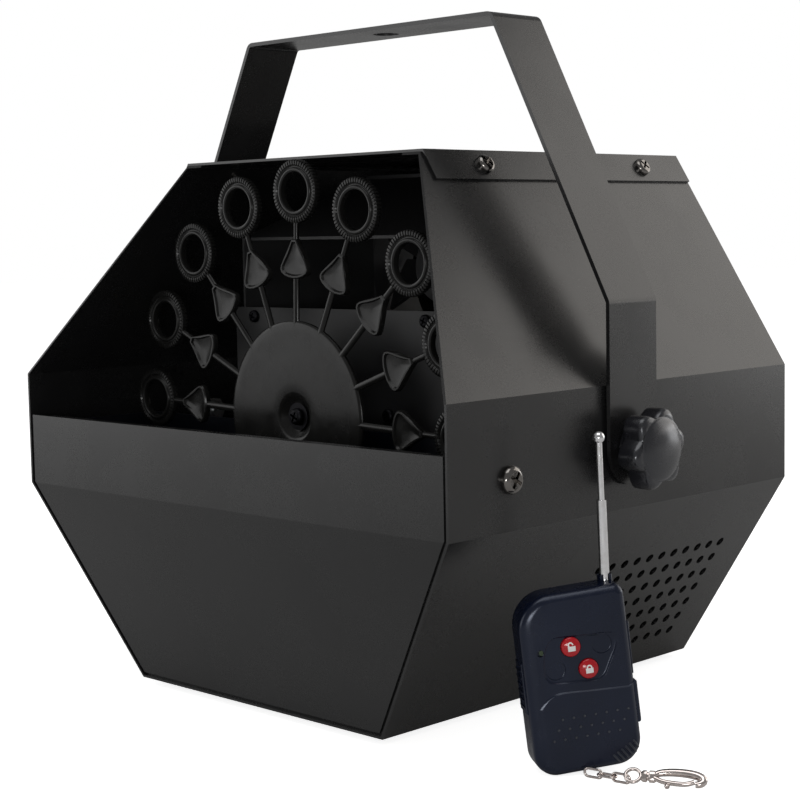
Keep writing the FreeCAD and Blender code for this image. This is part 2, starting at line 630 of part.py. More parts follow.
def fan_rotor():
    """Cup with swept blades, turning on a thin shaft in the frame's pillar."""
    cup_front = FAN_Y + 3.0
    cup_depth = FAN_DEPTH - 3.0 - 3.0 - 1.0
    cup = rod((0, cup_front, FAN_Z), Y_AXIS, ROTOR_HUB_R, cup_depth)
    cup = cup.cut(rod((0, cup_front + 2, FAN_Z), Y_AXIS, ROTOR_HUB_R - 2, cup_depth))
    shaft = rod((0, cup_front, FAN_Z), Y_AXIS, 1.5, 14.0)
    blades = []
    for i in range(BLADE_COUNT):
        sections = []
        for radius, pitch in ((ROTOR_HUB_R - 1.0, 55.0), (ROTOR_R, 35.0)):
            half = 8.0 / math.sin(math.radians(pitch))
            line = Part.makePolygon([vec(-half, -0.7, 0), vec(half, -0.7, 0), vec(half, 0.7, 0),
                                     vec(-half, 0.7, 0), vec(-half, -0.7, 0)])
            line.rotate(ORIGIN, Z_AXIS, pitch)
            line.translate(vec(0, cup_front + cup_depth / 2, FAN_Z + radius))
            sections.append(line)
        blade = Part.makeLoft(sections, True, True)
        blades.append(turned(blade, (0, 0, FAN_Z), Y_AXIS, 360.0 * i / BLADE_COUNT))
    rotor = fuse([cup, shaft] + blades)
    return rotor.common(rod((0, cup_front, FAN_Z), Y_AXIS, ROTOR_R, cup_depth + 4))


def fan_screws():
    back = FAN_Y + FAN_DEPTH
    return Part.makeCompound([screw((x, back, z), Y_AXIS, SMALL_HEAD, SMALL_SHANK_R, FAN_DEPTH + 4)
                              for x, z in fan_holes()])


# ---- mains electrics -----------------------------------------------------------------------------
ROW_Z = BASE_Z + 55.0
INLET_X = -48.0
SWITCH_X = -4.0
FUSE_X = 32.0
ROCKER_TILT = 9.0


def mains_inlet():
    flange = box((INLET_X - 25, REAR_Y, ROW_Z - 11.5), (INLET_X + 25, REAR_Y + 3, ROW_Z + 11.5))
    edges = [e for e in flange.Edges if abs(e.Length - 3) < 1e-6]
    flange = flange.makeFillet(5.0, edges)
    body = box((INLET_X - 13.4, REAR_Y - 17, ROW_Z - 9.8), (INLET_X + 13.4, REAR_Y, ROW_Z + 9.8))
    socket = prism_y([(INLET_X - 12, ROW_Z - 8), (INLET_X + 12, ROW_Z - 8), (INLET_X + 12, ROW_Z + 4.5),
                      (INLET_X + 8.5, ROW_Z + 8), (INLET_X - 8.5, ROW_Z + 8), (INLET_X - 12, ROW_Z + 4.5)],
                     REAR_Y - 14, REAR_Y + 4)
    holes = [rod((INLET_X + dx, REAR_Y - 1, ROW_Z), Y_AXIS, SMALL_SHANK_R, 6) for dx in (-20.0, 20.0)]
    pins = [pin.copy() for pin in inlet_pin_list()]
    return cut_all(fuse([flange, body]), [socket] + holes + pins)


def inlet_pin_list():
    places = ((INLET_X - 7, ROW_Z - 2.5), (INLET_X + 7, ROW_Z - 2.5), (INLET_X, ROW_Z + 2.5))
    return [box((x - 1, REAR_Y - 22, z - 2), (x + 1, REAR_Y - 1, z + 2)) for x, z in places]


def inlet_pins():
    return Part.makeCompound(inlet_pin_list())


def inlet_screws():
    return Part.makeCompound([screw((INLET_X + dx, REAR_Y + 3, ROW_Z), Y_AXIS, FINE_HEAD, SMALL_SHANK_R, 7.0)
                              for dx in (-20.0, 20.0)])


def switch_body():
    bezel = box((SWITCH_X - 10.6, REAR_Y, ROW_Z - 7.5), (SWITCH_X + 10.6, REAR_Y + 2, ROW_Z + 7.5))
    body = box((SWITCH_X - 9.4, REAR_Y - 14, ROW_Z - 6.3), (SWITCH_X + 9.4, REAR_Y, ROW_Z + 6.3))
    well = box((SWITCH_X - 8.3, REAR_Y - 6, ROW_Z - 5.2), (SWITCH_X + 8.3, REAR_Y + 3, ROW_Z + 5.2))
    pin = rod((SWITCH_X, REAR_Y - 1.5, ROW_Z - 6), Z_AXIS, 0.9, 12)
    tabs = [box((x - 2.4, REAR_Y - 20, ROW_Z - 0.4), (x + 2.4, REAR_Y - 14, ROW_Z + 0.4))
            for x in (SWITCH_X - 5.0, SWITCH_X + 5.0)]
    return fuse([fuse([bezel, body] + tabs).cut(well), pin])


def rocker():
    """Rocker tipped to its off side, bored for its pivot pin."""
    y = REAR_Y - 1.5
    line = [(SWITCH_X - 7.4, y - 0.5), (SWITCH_X, y - 2.4), (SWITCH_X + 7.4, y - 0.5),
            (SWITCH_X + 7.6, y + 4.0), (SWITCH_X, y + 3.0), (SWITCH_X - 7.6, y + 4.0)]
    corners = [vec(x, py, ROW_Z - 4.8) for x, py in line]
    cap = Part.Face(Part.makePolygon(corners + corners[:1])).extrude(vec(0, 0, 9.6))
    cap = cap.cut(rod((SWITCH_X, y, ROW_Z - 6), Z_AXIS, 0.95, 12))
    return turned(cap, (SWITCH_X, y, 0), Z_AXIS, -ROCKER_TILT)


def fuse_holder():
    ring = rod((FUSE_X, REAR_Y, ROW_Z), Y_AXIS, 8.5, 2.0)
    barrel = rod((FUSE_X, REAR_Y - 30, ROW_Z), Y_AXIS, 6.0, 30)
    nut = Part.makeCylinder(8.0, 3.0, vec(FUSE_X, REAR_Y - SHEET - 3, ROW_Z), Y_AXIS)
    bore = rod((FUSE_X, REAR_Y - 28, ROW_Z), Y_AXIS, 4.3, 31)
    return fuse([ring, barrel, nut]).cut(bore)


def fuse_cap():
    head = rod((FUSE_X, REAR_Y + 2.3, ROW_Z), Y_AXIS, 6.3, 5.0)
    plug = rod((FUSE_X, REAR_Y - 3.0, ROW_Z), Y_AXIS, 4.22, 5.5)
    cap = fuse([head, plug])
    slot = box((FUSE_X - 5, REAR_Y + 5.8, ROW_Z - 0.6), (FUSE_X + 5, REAR_Y + 8, ROW_Z + 0.6))
    return cap.cut(slot)


def glass_fuse():
    return rod((FUSE_X, REAR_Y - 28.0, ROW_Z), Y_AXIS, 2.6, 20.0)


BOARD_Z = BASE_Z + SHEET + 7.0
BOARD = (-50.0, 50.0, 18.0, 82.0)


def power_board():
    x0, x1, y0, y1 = BOARD
    board = box((x0, y0, BOARD_Z), (x1, y1, BOARD_Z + 1.6))
    return cut_all(board, [rod((x, y, BOARD_Z - 1), Z_AXIS, SMALL_SHANK_R, 4) for x, y in SPACER_PLACES])


def board_spacers():
    """Round spacers, each one piece with its screw from the casing's floor to a head on the board."""
    pieces = []
    for x, y in SPACER_PLACES:
        sleeve = rod((x, y, BASE_Z + SHEET), Z_AXIS, 3.0, BOARD_Z - BASE_Z - SHEET)
        stem = rod((x, y, BASE_Z), Z_AXIS, SMALL_SHANK_R, BOARD_Z + 1.6 - BASE_Z)
        head = rod((x, y, BOARD_Z + 1.6), Z_AXIS, 2.6, 1.7)
        pieces.append(fuse([sleeve, stem, head]))
    return Part.makeCompound(pieces)


def transformer():
    top = BOARD_Z + 1.6
    core = box((-38, 30, top), (2, 64, top + 28))
    windows = [box((x, 29, top + 6), (x + 8, 65, top + 22)) for x in (-32, -12)]
    core = cut_all(core, windows)
    coil = box((-31.8, 26, top + 6.2), (-4.2, 68, top + 21.8))
    return fuse([core, coil.cut(box((-24, 30, top), (-12, 64, top + 28)))])


def board_parts():
    top = BOARD_Z + 1.6
    can_big = rod((14, 36, top), Z_AXIS, 8.0, 20)
    can_small = rod((14, 56, top), Z_AXIS, 5.0, 12)
    relay = box((26, 30, top), (42, 48, top + 14))
    terminal = box((24, 60, top), (37, 70, top + 9))
    rectifier = box((6, 68, top), (20, 72, top + 12))
    return Part.makeCompound([can_big, can_small, relay, terminal, rectifier])


def receiver_board():
    """Small radio board standing on the power board."""
    top = BOARD_Z + 1.6
    board = box((44, 32, top), (45.2, 66, top + 30))
    coil = rod((45.2, 40, top + 20), X_AXIS, 3.0, 4.0)
    chip = box((42.6, 48, top + 16), (44, 60, top + 24))
    return fuse([board, coil, chip])


# ---- handle --------------------------------------------------------------------------------------
def handle_bracket():
    outer = [(ARM_INNER_X + BAR_THICKNESS, PIVOT_Z - 20), (ARM_INNER_X + BAR_THICKNESS, ARM_BEND_Z),
             (BAR_TOP_HALF, BAR_TOP_Z), (-BAR_TOP_HALF, BAR_TOP_Z),
             (-ARM_INNER_X - BAR_THICKNESS, ARM_BEND_Z), (-ARM_INNER_X - BAR_THICKNESS, PIVOT_Z - 20)]
    y0, y1 = PIVOT_Y - BAR_WIDTH / 2, PIVOT_Y + BAR_WIDTH / 2
    solid = prism_y(outer, y0, y1)
    corner_edges = [e for e in solid.Edges if abs(e.Length - BAR_WIDTH) < 1e-6
                    and e.CenterOfMass.z > PIVOT_Z + 20]
    solid = solid.makeFillet(4.0, corner_edges)
    inner = inset(outer, BAR_THICKNESS)
    inner = [(x, z - 8 if z < PIVOT_Z else z) for x, z in inner]
    hollow = prism_y(inner, y0 - 1, y1 + 1)
    hollow_edges = [e for e in hollow.Edges if abs(e.Length - BAR_WIDTH - 2) < 1e-6
                    and e.CenterOfMass.z > PIVOT_Z + 20]
    bar = solid.cut(hollow.makeFillet(1.6, hollow_edges))
    keep = fuse([box((-140, y0 - 1, PIVOT_Z), (140, y1 + 1, BAR_TOP_Z + 1)),
                 rod((-140, PIVOT_Y, PIVOT_Z), X_AXIS, BAR_WIDTH / 2, 280)])
    bar = bar.common(keep)
    holes = [rod((-140, PIVOT_Y, PIVOT_Z), X_AXIS, STUD_R + 0.35, 280),
             rod((0, PIVOT_Y, BAR_TOP_Z - 10), Z_AXIS, HANG_HOLE_R, 20)]
    return cut_all(bar, holes)


KNOB_X = ARM_INNER_X + BAR_THICKNESS + 0.3


def knob_right():
    """Lobed grip with a domed face, a neck that presses on the bar, and a blind bore for the stud."""
    neck = rod((KNOB_X, PIVOT_Y, PIVOT_Z), X_AXIS, NECK_R, NECK_LENGTH + 0.2)
    grip_x = KNOB_X + NECK_LENGTH
    face_x = grip_x + GRIP_DEPTH
    core = rod((grip_x, PIVOT_Y, PIVOT_Z), X_AXIS, KNOB_R - 0.8 * LOBE_R, GRIP_DEPTH)
    lobe = rod((grip_x, PIVOT_Y, PIVOT_Z + KNOB_R - LOBE_R), X_AXIS, LOBE_R, GRIP_DEPTH)
    lobes = [turned(lobe, (0, PIVOT_Y, PIVOT_Z), X_AXIS, KNOB_REST_TURN + 360.0 * i / KNOB_LOBES)
             for i in range(KNOB_LOBES)]
    grip = fuse([core] + lobes)
    rims = [e for e in grip.Edges if abs(e.CenterOfMass.x - face_x) < 1e-4]
    grip = grip.makeFillet(KNOB_EDGE_R, rims)
    dome = Part.makeSphere(DOME_R, vec(face_x + 2.4 - DOME_R, PIVOT_Y, PIVOT_Z))
    dome = dome.common(rod((face_x - 1.2, PIVOT_Y, PIVOT_Z), X_AXIS, DOME_EDGE_R, 4))
    knob = fuse([neck, grip, dome])
    return knob.cut(rod((KNOB_X - 1, PIVOT_Y, PIVOT_Z), X_AXIS, STUD_R, 11.0))


def stud_right():
    return rod((BELT_HALF - 8.0, PIVOT_Y, PIVOT_Z), X_AXIS, STUD_R, KNOB_X + 10.0 - BELT_HALF + 8.0)


def pivot_washers():
    one = tube((BELT_HALF, PIVOT_Y, PIVOT_Z), X_AXIS, 9.0, STUD_R + 0.4, 0.8)
    return Part.makeCompound(both_sides(one))


def pivot_nuts():
    """Hexagonal nuts welded inside the belt sides."""
    radius = 5.8
    corners = [vec(BELT_HALF - SHEET - 5.0, PIVOT_Y + radius * math.cos(math.radians(60 * i)),
                   PIVOT_Z + radius * math.sin(math.radians(60 * i))) for i in range(6)]
    nut = Part.Face(Part.makePolygon(corners + corners[:1])).extrude(vec(5.0, 0, 0))
    nut = nut.cut(rod((BELT_HALF - 10, PIVOT_Y, PIVOT_Z), X_AXIS, STUD_R + RUNNING_GAP, 10))
    return Part.makeCompound(both_sides(nut))


# ---- remote control ------------------------------------------------------------------------------
# Built facing -Y with its base at z = 0 and its middle at x = 0, then turned and moved into place.
REMOTE_SPLIT = 0.5       # plane between the two half shells
INNER_BOARD_Y = -1.6
HALF_WIDTH = REMOTE_WIDTH / 2
HALF_DEPTH = REMOTE_DEPTH / 2
LUG_PLACE = (-1.0, -HALF_DEPTH - 2.6)
LUG_THICKNESS = 1.0
FIRST_LINK_X = 1.6       # from the lug's near face
CHAIN_Z = 1.9
LINK_COUNT = 3
LINK_PITCH = 5.3
LINK_HALF_LENGTH = 3.3
LINK_HALF_WIDTH = 1.4
LINK_WIRE_R = 0.45
CLASP_GAP = 4.45         # from the last link's middle to the clasp's eye


def remote_outline(shrink):
    """Rounded rectangle in x and z as a solid cutter or block, centred in depth."""
    half = HALF_WIDTH - shrink
    block = box((-half, -HALF_DEPTH - 5, shrink), (half, HALF_DEPTH + 5, REMOTE_HEIGHT - shrink))
    corners = {(-1, 1): UPPER_LEFT_R, (1, 1): UPPER_RIGHT_R, (1, -1): LOWER_RIGHT_R, (-1, -1): LOWER_LEFT_R}
    for (side, end), radius in corners.items():
        edge = [e for e in block.Edges if abs(e.Length - REMOTE_DEPTH - 10) < 1e-6
                and abs(e.CenterOfMass.x - side * half) < 1e-6
                and (e.CenterOfMass.z > REMOTE_HEIGHT / 2) == (end > 0)]
        block = block.makeFillet(radius - shrink, edge)
    return block


def remote_block(y0, y1, edge_y, bevel):
    block = remote_outline(0.0).common(box((-50, y0, -1), (50, y1, 80)))
    rim = [e for e in block.Edges
           if abs(e.BoundBox.YMin - edge_y) < 1e-4 and abs(e.BoundBox.YMax - edge_y) < 1e-4]
    return block.makeFillet(bevel, rim)


def tilted_aerial(shape):
    """Turns a shape built upright at the aerial's place to the aerial's own tilt."""
    return turned(shape, (AERIAL_X, AERIAL_Y, REMOTE_HEIGHT), Y_AXIS, AERIAL_TILT)


def aerial_channel(gap):
    return tilted_aerial(rod((AERIAL_X, AERIAL_Y, REMOTE_HEIGHT - 36), Z_AXIS, AERIAL_OUTER_R + gap, 50))


def remote_front():
    shell = remote_block(-HALF_DEPTH, REMOTE_SPLIT, -HALF_DEPTH, 2.2)
    hollow = remote_outline(REMOTE_WALL).common(
        box((-50, -HALF_DEPTH + REMOTE_WALL, -1), (50, REMOTE_SPLIT, 80)))
    shell = shell.cut(hollow)
    step = remote_outline(1.4).common(box((-50, -HALF_DEPTH - 0.6, 3), (50, -HALF_DEPTH + 0.4, 28.5)))
    shell = fuse([shell, step])
    holes = [rod((x, -HALF_DEPTH - 2, z), Y_AXIS, BUTTON_R + 0.25, 6) for x, z in BUTTON_PLACES.values()]
    holes.append(rod((LED_PLACE[0], -HALF_DEPTH - 2, LED_PLACE[1]), Y_AXIS, 1.1, 6))
    for x, z in BLANK_PLACES:
        holes.append(rod((x, -HALF_DEPTH - 1, z), Y_AXIS, BUTTON_R, 1.4))
    holes.append(aerial_channel(0.3))
    return cut_all(shell, holes)


def remote_rear():
    shell = remote_block(REMOTE_SPLIT, HALF_DEPTH, HALF_DEPTH, 2.2)
    hollow = remote_outline(REMOTE_WALL).common(
        box((-50, REMOTE_SPLIT, -1), (50, HALF_DEPTH - REMOTE_WALL, 80)))
    shell = shell.cut(hollow)
    collar = rod((AERIAL_X, AERIAL_Y, REMOTE_HEIGHT - 1.5), Z_AXIS, AERIAL_OUTER_R + 0.9, 3.8)
    collar = collar.common(box((-50, REMOTE_SPLIT, 0), (50, 50, 80)))
    return shell.fuse(collar).cut(aerial_channel(0.3))


def remote_board():
    board = box((REMOTE_WALL - HALF_WIDTH, INNER_BOARD_Y, 12), (9.5, INNER_BOARD_Y + 1.2, 50))
    chip = box((-12, INNER_BOARD_Y - 1.0, 25), (-4, INNER_BOARD_Y, 32))
    return fuse([board, chip])


def remote_battery():
    """Short round 12 V cell lying across the case."""
    return rod((-15, HALF_DEPTH - REMOTE_WALL - 2.6, 8.0), X_AXIS, 2.6, 24.0)


def remote_led():
    x, z = LED_PLACE
    return rod((x, -HALF_DEPTH + 0.6, z), Y_AXIS, 0.9, INNER_BOARD_Y + HALF_DEPTH - 0.6)


def remote_button(x, z):
    cap = rod((x, -HALF_DEPTH - 1.2, z), Y_AXIS, BUTTON_R, 3.8)
    rim = [e for e in cap.Edges if abs(e.CenterOfMass.y + HALF_DEPTH + 1.2) < 1e-6]
    return cap.makeFillet(1.1, rim[:1])


AERIAL_TOP = REMOTE_HEIGHT + AERIAL_OUTER_SHOWN


def aerial_outer():
    start = (AERIAL_X, AERIAL_Y, REMOTE_HEIGHT - 6.0)
    section = tube(start, Z_AXIS, AERIAL_OUTER_R, AERIAL_INNER_R + RUNNING_GAP, AERIAL_OUTER_SHOWN + 6.0)
    return tilted_aerial(section)


def aerial_inner():
    start = (AERIAL_X, AERIAL_Y, AERIAL_TOP - 5.0)
    section = rod(start, Z_AXIS, AERIAL_INNER_R, AERIAL_INNER_SHOWN + 5.0)
    tip = Part.makeSphere(2.1, vec(AERIAL_X, AERIAL_Y, AERIAL_TOP + AERIAL_INNER_SHOWN + 1.6))
    return tilted_aerial(fuse([section, tip]))


# The lug, the chain and the clasp are built running along x from the lug, then placed by placed_chain.
def chain_lug():
    """Plate standing out of the case's front, with a hole for the first link."""
    plate = box((0, -1.4, CHAIN_Z - 0.6), (LUG_THICKNESS, 4.8, CHAIN_Z + 4.1))
    return plate.cut(rod((-1, 0, CHAIN_Z + LINK_HALF_WIDTH), X_AXIS, 0.9, 3))


def link(centre, roll):
    """Oval chain link lying along x, rolled about x."""
    straight = LINK_HALF_LENGTH - LINK_HALF_WIDTH
    side, end = LINK_HALF_WIDTH, LINK_HALF_LENGTH
    path = Part.Wire([
        Part.makeLine(vec(-straight, side, 0), vec(straight, side, 0)),
        Part.Arc(vec(straight, side, 0), vec(end, 0, 0), vec(straight, -side, 0)).toShape(),
        Part.makeLine(vec(straight, -side, 0), vec(-straight, -side, 0)),
        Part.Arc(vec(-straight, -side, 0), vec(-end, 0, 0), vec(-straight, side, 0)).toShape()])
    profile = Part.Wire([Part.makeCircle(LINK_WIRE_R, vec(-straight, side, 0), X_AXIS)])
    shape = path.makePipeShell([profile], True, False)
    shape.rotate(ORIGIN, X_AXIS, roll)
    shape.translate(vec(*centre))
    return shape


def key_chain():
    """Links running out from the lug, each a quarter turn from the next."""
    links = []
    for i in range(LINK_COUNT):
        links.append(link((FIRST_LINK_X + LINK_PITCH * i, 0, CHAIN_Z), 90.0 * ((i + 1) % 2)))
    return Part.makeCompound(links)


def flat_plate(points, z0, z1):
    corners = [vec(x, y, z0) for x, y in points]
    return Part.Face(Part.makePolygon(corners + corners[:1])).extrude(vec(0, 0, z1 - z0))


def key_clasp():
    """Lobster clasp: eye, body and hooked nose, lying flat."""
    eye_x = FIRST_LINK_X + LINK_PITCH * (LINK_COUNT - 1) + CLASP_GAP
    low, high = CHAIN_Z - 0.8, CHAIN_Z + 0.8
    eye = tube((0, 0, CHAIN_Z - 0.7), Z_AXIS, 3.2, 1.9, 1.4)
    body = flat_plate([(2.6, -1.6), (9, -2.9), (19, -3.3), (24.5, -1.8), (25.6, 1.2), (22, 3.3), (9, 2.5),
                       (2.6, 1.6)], low, high)
    window = flat_plate([(11.5, -1.3), (20, -1.6), (22.6, 0.2), (21, 1.5), (11.5, 1.0)], low - 1, high + 1)
    clasp = fuse([eye, body]).cut(window)
    clasp.rotate(ORIGIN, Z_AXIS, CLASP_TURN - CHAIN_TURN)
    clasp.translate(vec(eye_x, 0, 0))
    return clasp


def placed_remote(shape):
    """Leans a shape about the middle of its lower left corner's rounding, which stays on the floor."""
    copy = turned(shape, (-HALF_WIDTH + LOWER_LEFT_R, 0, LOWER_LEFT_R), Y_AXIS, -REMOTE_LEAN)
    copy.rotate(ORIGIN, Z_AXIS, REMOTE_TURN)
    copy.translate(vec(REMOTE_PLACE[0], REMOTE_PLACE[1], 0))
    return copy


def placed_chain(shape):
    start = vec(LUG_PLACE[0], LUG_PLACE[1], 0)
    start = FreeCAD.Rotation(Z_AXIS, REMOTE_TURN).multVec(start) + vec(REMOTE_PLACE[0], REMOTE_PLACE[1], 0)
    copy = shape.copy()
    copy.rotate(ORIGIN, Z_AXIS, CHAIN_TURN)
    copy.translate(start)
    return copy


# ---- export --------------------------------------------------------------------------------------
def casing_nodes():
    return {
        "housing_shell": housing_shell(), "top_cover": top_cover(), "front_panel": front_panel(),
        "rear_panel": rear_panel(), "cover_screws": cover_screws(), "belt_screws": belt_screws(),
        "slope_screws": slope_screws(), "rear_screws": rear_screws(), "feet": feet(),
        "fluid_tank": fluid_tank(), "bulkhead": bulkhead(), "air_duct": air_duct(),
        "duct_screws": duct_screws()}


def drive_nodes():
    return {
        "gear_motor": gear_motor(), "motor_screws": motor_screws(), "wheel_shaft": wheel_shaft(),
        "wand_wheel": wand_wheel(), "hub_screw": hub_screw(), "hub_washer": hub_washer(),
        "fan_frame": fan_frame(), "fan_rotor": fan_rotor(), "fan_screws": fan_screws()}


def electric_nodes():
    return {
        "mains_inlet": mains_inlet(), "inlet_pins": inlet_pins(), "inlet_screws": inlet_screws(),
        "switch_body": switch_body(), "rocker": rocker(), "fuse_holder": fuse_holder(),
        "fuse_cap": fuse_cap(), "glass_fuse": glass_fuse(), "power_board": power_board(),
        "board_spacers": board_spacers(), "transformer": transformer(), "board_parts": board_parts(),
        "receiver_board": receiver_board()}


def handle_nodes():
    knob = knob_right()
    stud = stud_right()
    return {
        "handle_bracket": handle_bracket(), "knob_right": knob, "knob_left": mirrored(knob),
        "stud_right": stud, "stud_left": mirrored(stud), "pivot_washers": pivot_washers(),
        "pivot_nuts": pivot_nuts()}


def remote_nodes():
    shapes = {
        "remote_rear": remote_rear(), "remote_board": remote_board(), "remote_battery": remote_battery(),
        "remote_led": remote_led(), "aerial_outer": aerial_outer(), "aerial_inner": aerial_inner()}
    for name, (x, z) in BUTTON_PLACES.items():
        shapes[name] = remote_button(x, z)
    placed = {name: placed_remote(shape) for name, shape in shapes.items()}
    placed["remote_front"] = placed_remote(remote_front()).fuse(placed_chain(chain_lug()))
    placed["key_chain"] = placed_chain(key_chain())
    placed["key_clasp"] = placed_chain(key_clasp())
    return placed


def main():
    os.makedirs("parts", exist_ok=True)
    for group in (casing_nodes, drive_nodes, electric_nodes, handle_nodes, remote_nodes):
        for name, shape in group().items():
            shape.exportStep(f"parts/{name}.step")
            print(name, "valid" if shape.isValid() else "NOT VALID", len(shape.Solids), "solids")


main()
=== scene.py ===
"""Looks of the bubble machine: materials, wand wheel, remote control, studio and camera."""
import json
import math

import bmesh
import bpy
from mathutils import Matrix, Vector


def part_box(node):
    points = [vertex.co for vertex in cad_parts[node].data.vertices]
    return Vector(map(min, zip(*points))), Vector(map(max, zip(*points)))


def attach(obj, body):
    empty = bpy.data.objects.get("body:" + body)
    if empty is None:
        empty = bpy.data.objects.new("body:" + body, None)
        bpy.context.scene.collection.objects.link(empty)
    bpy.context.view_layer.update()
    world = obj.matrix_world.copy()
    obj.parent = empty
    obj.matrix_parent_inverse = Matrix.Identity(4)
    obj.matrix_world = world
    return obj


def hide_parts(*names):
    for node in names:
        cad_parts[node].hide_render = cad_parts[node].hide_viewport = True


MM = 0.001
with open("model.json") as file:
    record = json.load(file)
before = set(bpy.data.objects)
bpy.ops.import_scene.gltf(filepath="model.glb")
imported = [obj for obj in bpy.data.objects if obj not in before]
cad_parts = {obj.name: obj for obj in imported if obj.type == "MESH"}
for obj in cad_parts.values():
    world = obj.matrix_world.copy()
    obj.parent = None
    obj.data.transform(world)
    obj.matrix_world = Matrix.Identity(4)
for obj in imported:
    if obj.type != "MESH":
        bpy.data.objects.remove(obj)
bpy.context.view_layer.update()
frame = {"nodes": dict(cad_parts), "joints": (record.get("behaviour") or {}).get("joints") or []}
nodes = frame["nodes"]


# ---- material helpers ----------------------------------------------------------------------------
class Shader:
    """A principled material and short ways to wire procedural detail into it."""

    def __init__(self, name):
        self.material = bpy.data.materials.new(name)
        self.material.use_nodes = True
        self.tree = self.material.node_tree
        self.bsdf = self.tree.nodes["Principled BSDF"]
        self.place = self.tree.nodes.new("ShaderNodeTexCoord").outputs["Object"]

    def link(self, source, target):
        self.tree.links.new(source, target)

    def set(self, **values):
        for label, value in values.items():
            self.bsdf.inputs[label.replace("_", " ")].default_value = value

    def noise(self, size_mm, detail=3.0, stretch=(1, 1, 1), rough=0.5):
        """Noise with lumps about size_mm across, squeezed along the axes by stretch."""
        mapping = self.tree.nodes.new("ShaderNodeMapping")
        mapping.inputs["Scale"].default_value = stretch
        self.link(self.place, mapping.inputs["Vector"])
        noise = self.tree.nodes.new("ShaderNodeTexNoise")
        noise.inputs["Scale"].default_value = 1.0 / (size_mm * MM)
        noise.inputs["Detail"].default_value = detail
        noise.inputs["Roughness"].default_value = rough
        self.link(mapping.outputs["Vector"], noise.inputs["Vector"])
        return noise.outputs["Fac"]

    def remap(self, value, low, high, start=0.35, end=0.65):
        node = self.tree.nodes.new("ShaderNodeMapRange")
        self.link(value, node.inputs["Value"])
        for label, number in (("From Min", start), ("From Max", end), ("To Min", low), ("To Max", high)):
            node.inputs[label].default_value = number
        return node.outputs["Result"]

    def mix(self, factor, first, second):
        node = self.tree.nodes.new("ShaderNodeMix")
        node.data_type = "RGBA"
        for index, colour in ((6, first), (7, second)):
            if isinstance(colour, tuple):
                node.inputs[index].default_value = (*colour, 1.0)
            else:
                self.link(colour, node.inputs[index])
        self.link(factor, node.inputs[0])
        return node.outputs[2]

    def math(self, operation, first, second):
        node = self.tree.nodes.new("ShaderNodeMath")
        node.operation = operation
        for index, value in enumerate((first, second)):
            if isinstance(value, (int, float)):
                node.inputs[index].default_value = value
            else:
                self.link(value, node.inputs[index])
        return node.outputs[0]

    def bump(self, height, depth_mm, strength=1.0):
        node = self.tree.nodes.new("ShaderNodeBump")
        node.inputs["Distance"].default_value = depth_mm * MM
        node.inputs["Strength"].default_value = strength
        self.link(height, node.inputs["Height"])
        self.link(node.outputs["Normal"], self.bsdf.inputs["Normal"])

    def upward(self):
        """1 where a surface faces up, 0 where it faces sideways or down."""
        geometry = self.tree.nodes.new("ShaderNodeNewGeometry")
        split = self.tree.nodes.new("ShaderNodeSeparateXYZ")
        self.link(geometry.outputs["Normal"], split.inputs[0])
        return self.remap(split.outputs["Z"], 0.0, 1.0, 0.2, 1.0)


def powder_coat(name, colour, roughness, dust=0.1):
    """Satin powder coat: fine orange peel, faint cloudiness, a little dust on what faces up."""
    s = Shader(name)
    lighter = tuple(c * 1.35 + 0.001 for c in colour)
    cloud = s.remap(s.noise(45, 2), 0.0, 1.0, 0.2, 0.8)
    painted = s.mix(cloud, colour, lighter)
    specks = s.remap(s.noise(1.1, 3), 0.0, dust, 0.5, 0.8)
    dusty = s.mix(s.math("MULTIPLY", s.upward(), specks), painted, (0.11, 0.105, 0.1))
    s.link(dusty, s.bsdf.inputs["Base Color"])
    rub = s.remap(s.noise(22, 4), -0.03, 0.04, 0.25, 0.75)
    grain = s.remap(s.noise(0.6, 2), -0.02, 0.03, 0.2, 0.8)
    s.link(s.math("ADD", s.math("ADD", rub, grain), roughness), s.bsdf.inputs["Roughness"])
    s.bump(s.noise(0.75, 2), 0.03, 0.28)
    return s.material


def moulded(name, colour, roughness, grain_mm=0.5, depth_mm=0.012, sheen=1.35, shine=0.5, tint=(1, 1, 1)):
    """Injection-moulded plastic with fine texture, flow marks and handling marks in its gloss."""
    s = Shader(name)
    flow = s.remap(s.noise(16, 3, (1, 1, 0.4)), 0.0, 1.0)
    paler = tuple(min(1.0, c * sheen + 0.001) for c in colour)
    s.link(s.mix(flow, colour, paler), s.bsdf.inputs["Base Color"])
    rub = s.remap(s.noise(7, 6, rough=0.65), -0.05, 0.07)
    s.link(s.math("ADD", rub, roughness), s.bsdf.inputs["Roughness"])
    s.bump(s.noise(grain_mm, 2), depth_mm, 0.5)
    s.set(Specular_IOR_Level=shine, Specular_Tint=(*tint, 1.0))
    return s.material


def metal(name, colour, roughness, brushed=(1, 1, 1), tarnish=(0.5, 0.45, 0.4), amount=0.25):
    """Bare or plated metal with brushing, fine scratches and dull patches."""
    s = Shader(name)
    patches = s.remap(s.noise(2.5, 5), 0.0, amount, 0.45, 0.7)
    dull = tuple(a * b for a, b in zip(colour, tarnish))
    s.link(s.mix(patches, colour, dull), s.bsdf.inputs["Base Color"])
    scratch = s.noise(0.35, 4, brushed)
    s.link(s.math("ADD", s.remap(scratch, -0.06, 0.1), roughness), s.bsdf.inputs["Roughness"])
    s.bump(scratch, 0.006, 0.5)
    s.set(Metallic=1.0)
    return s.material


def rubber(name, colour):
    s = Shader(name)
    bloom = s.remap(s.noise(4, 5), 0.0, 1.0)
    s.link(s.mix(bloom, colour, tuple(c * 2.2 for c in colour)), s.bsdf.inputs["Base Color"])
    s.link(s.remap(s.noise(1.5, 3), 0.75, 0.95), s.bsdf.inputs["Roughness"])
    s.bump(s.noise(0.4, 2), 0.03, 0.6)
    return s.material


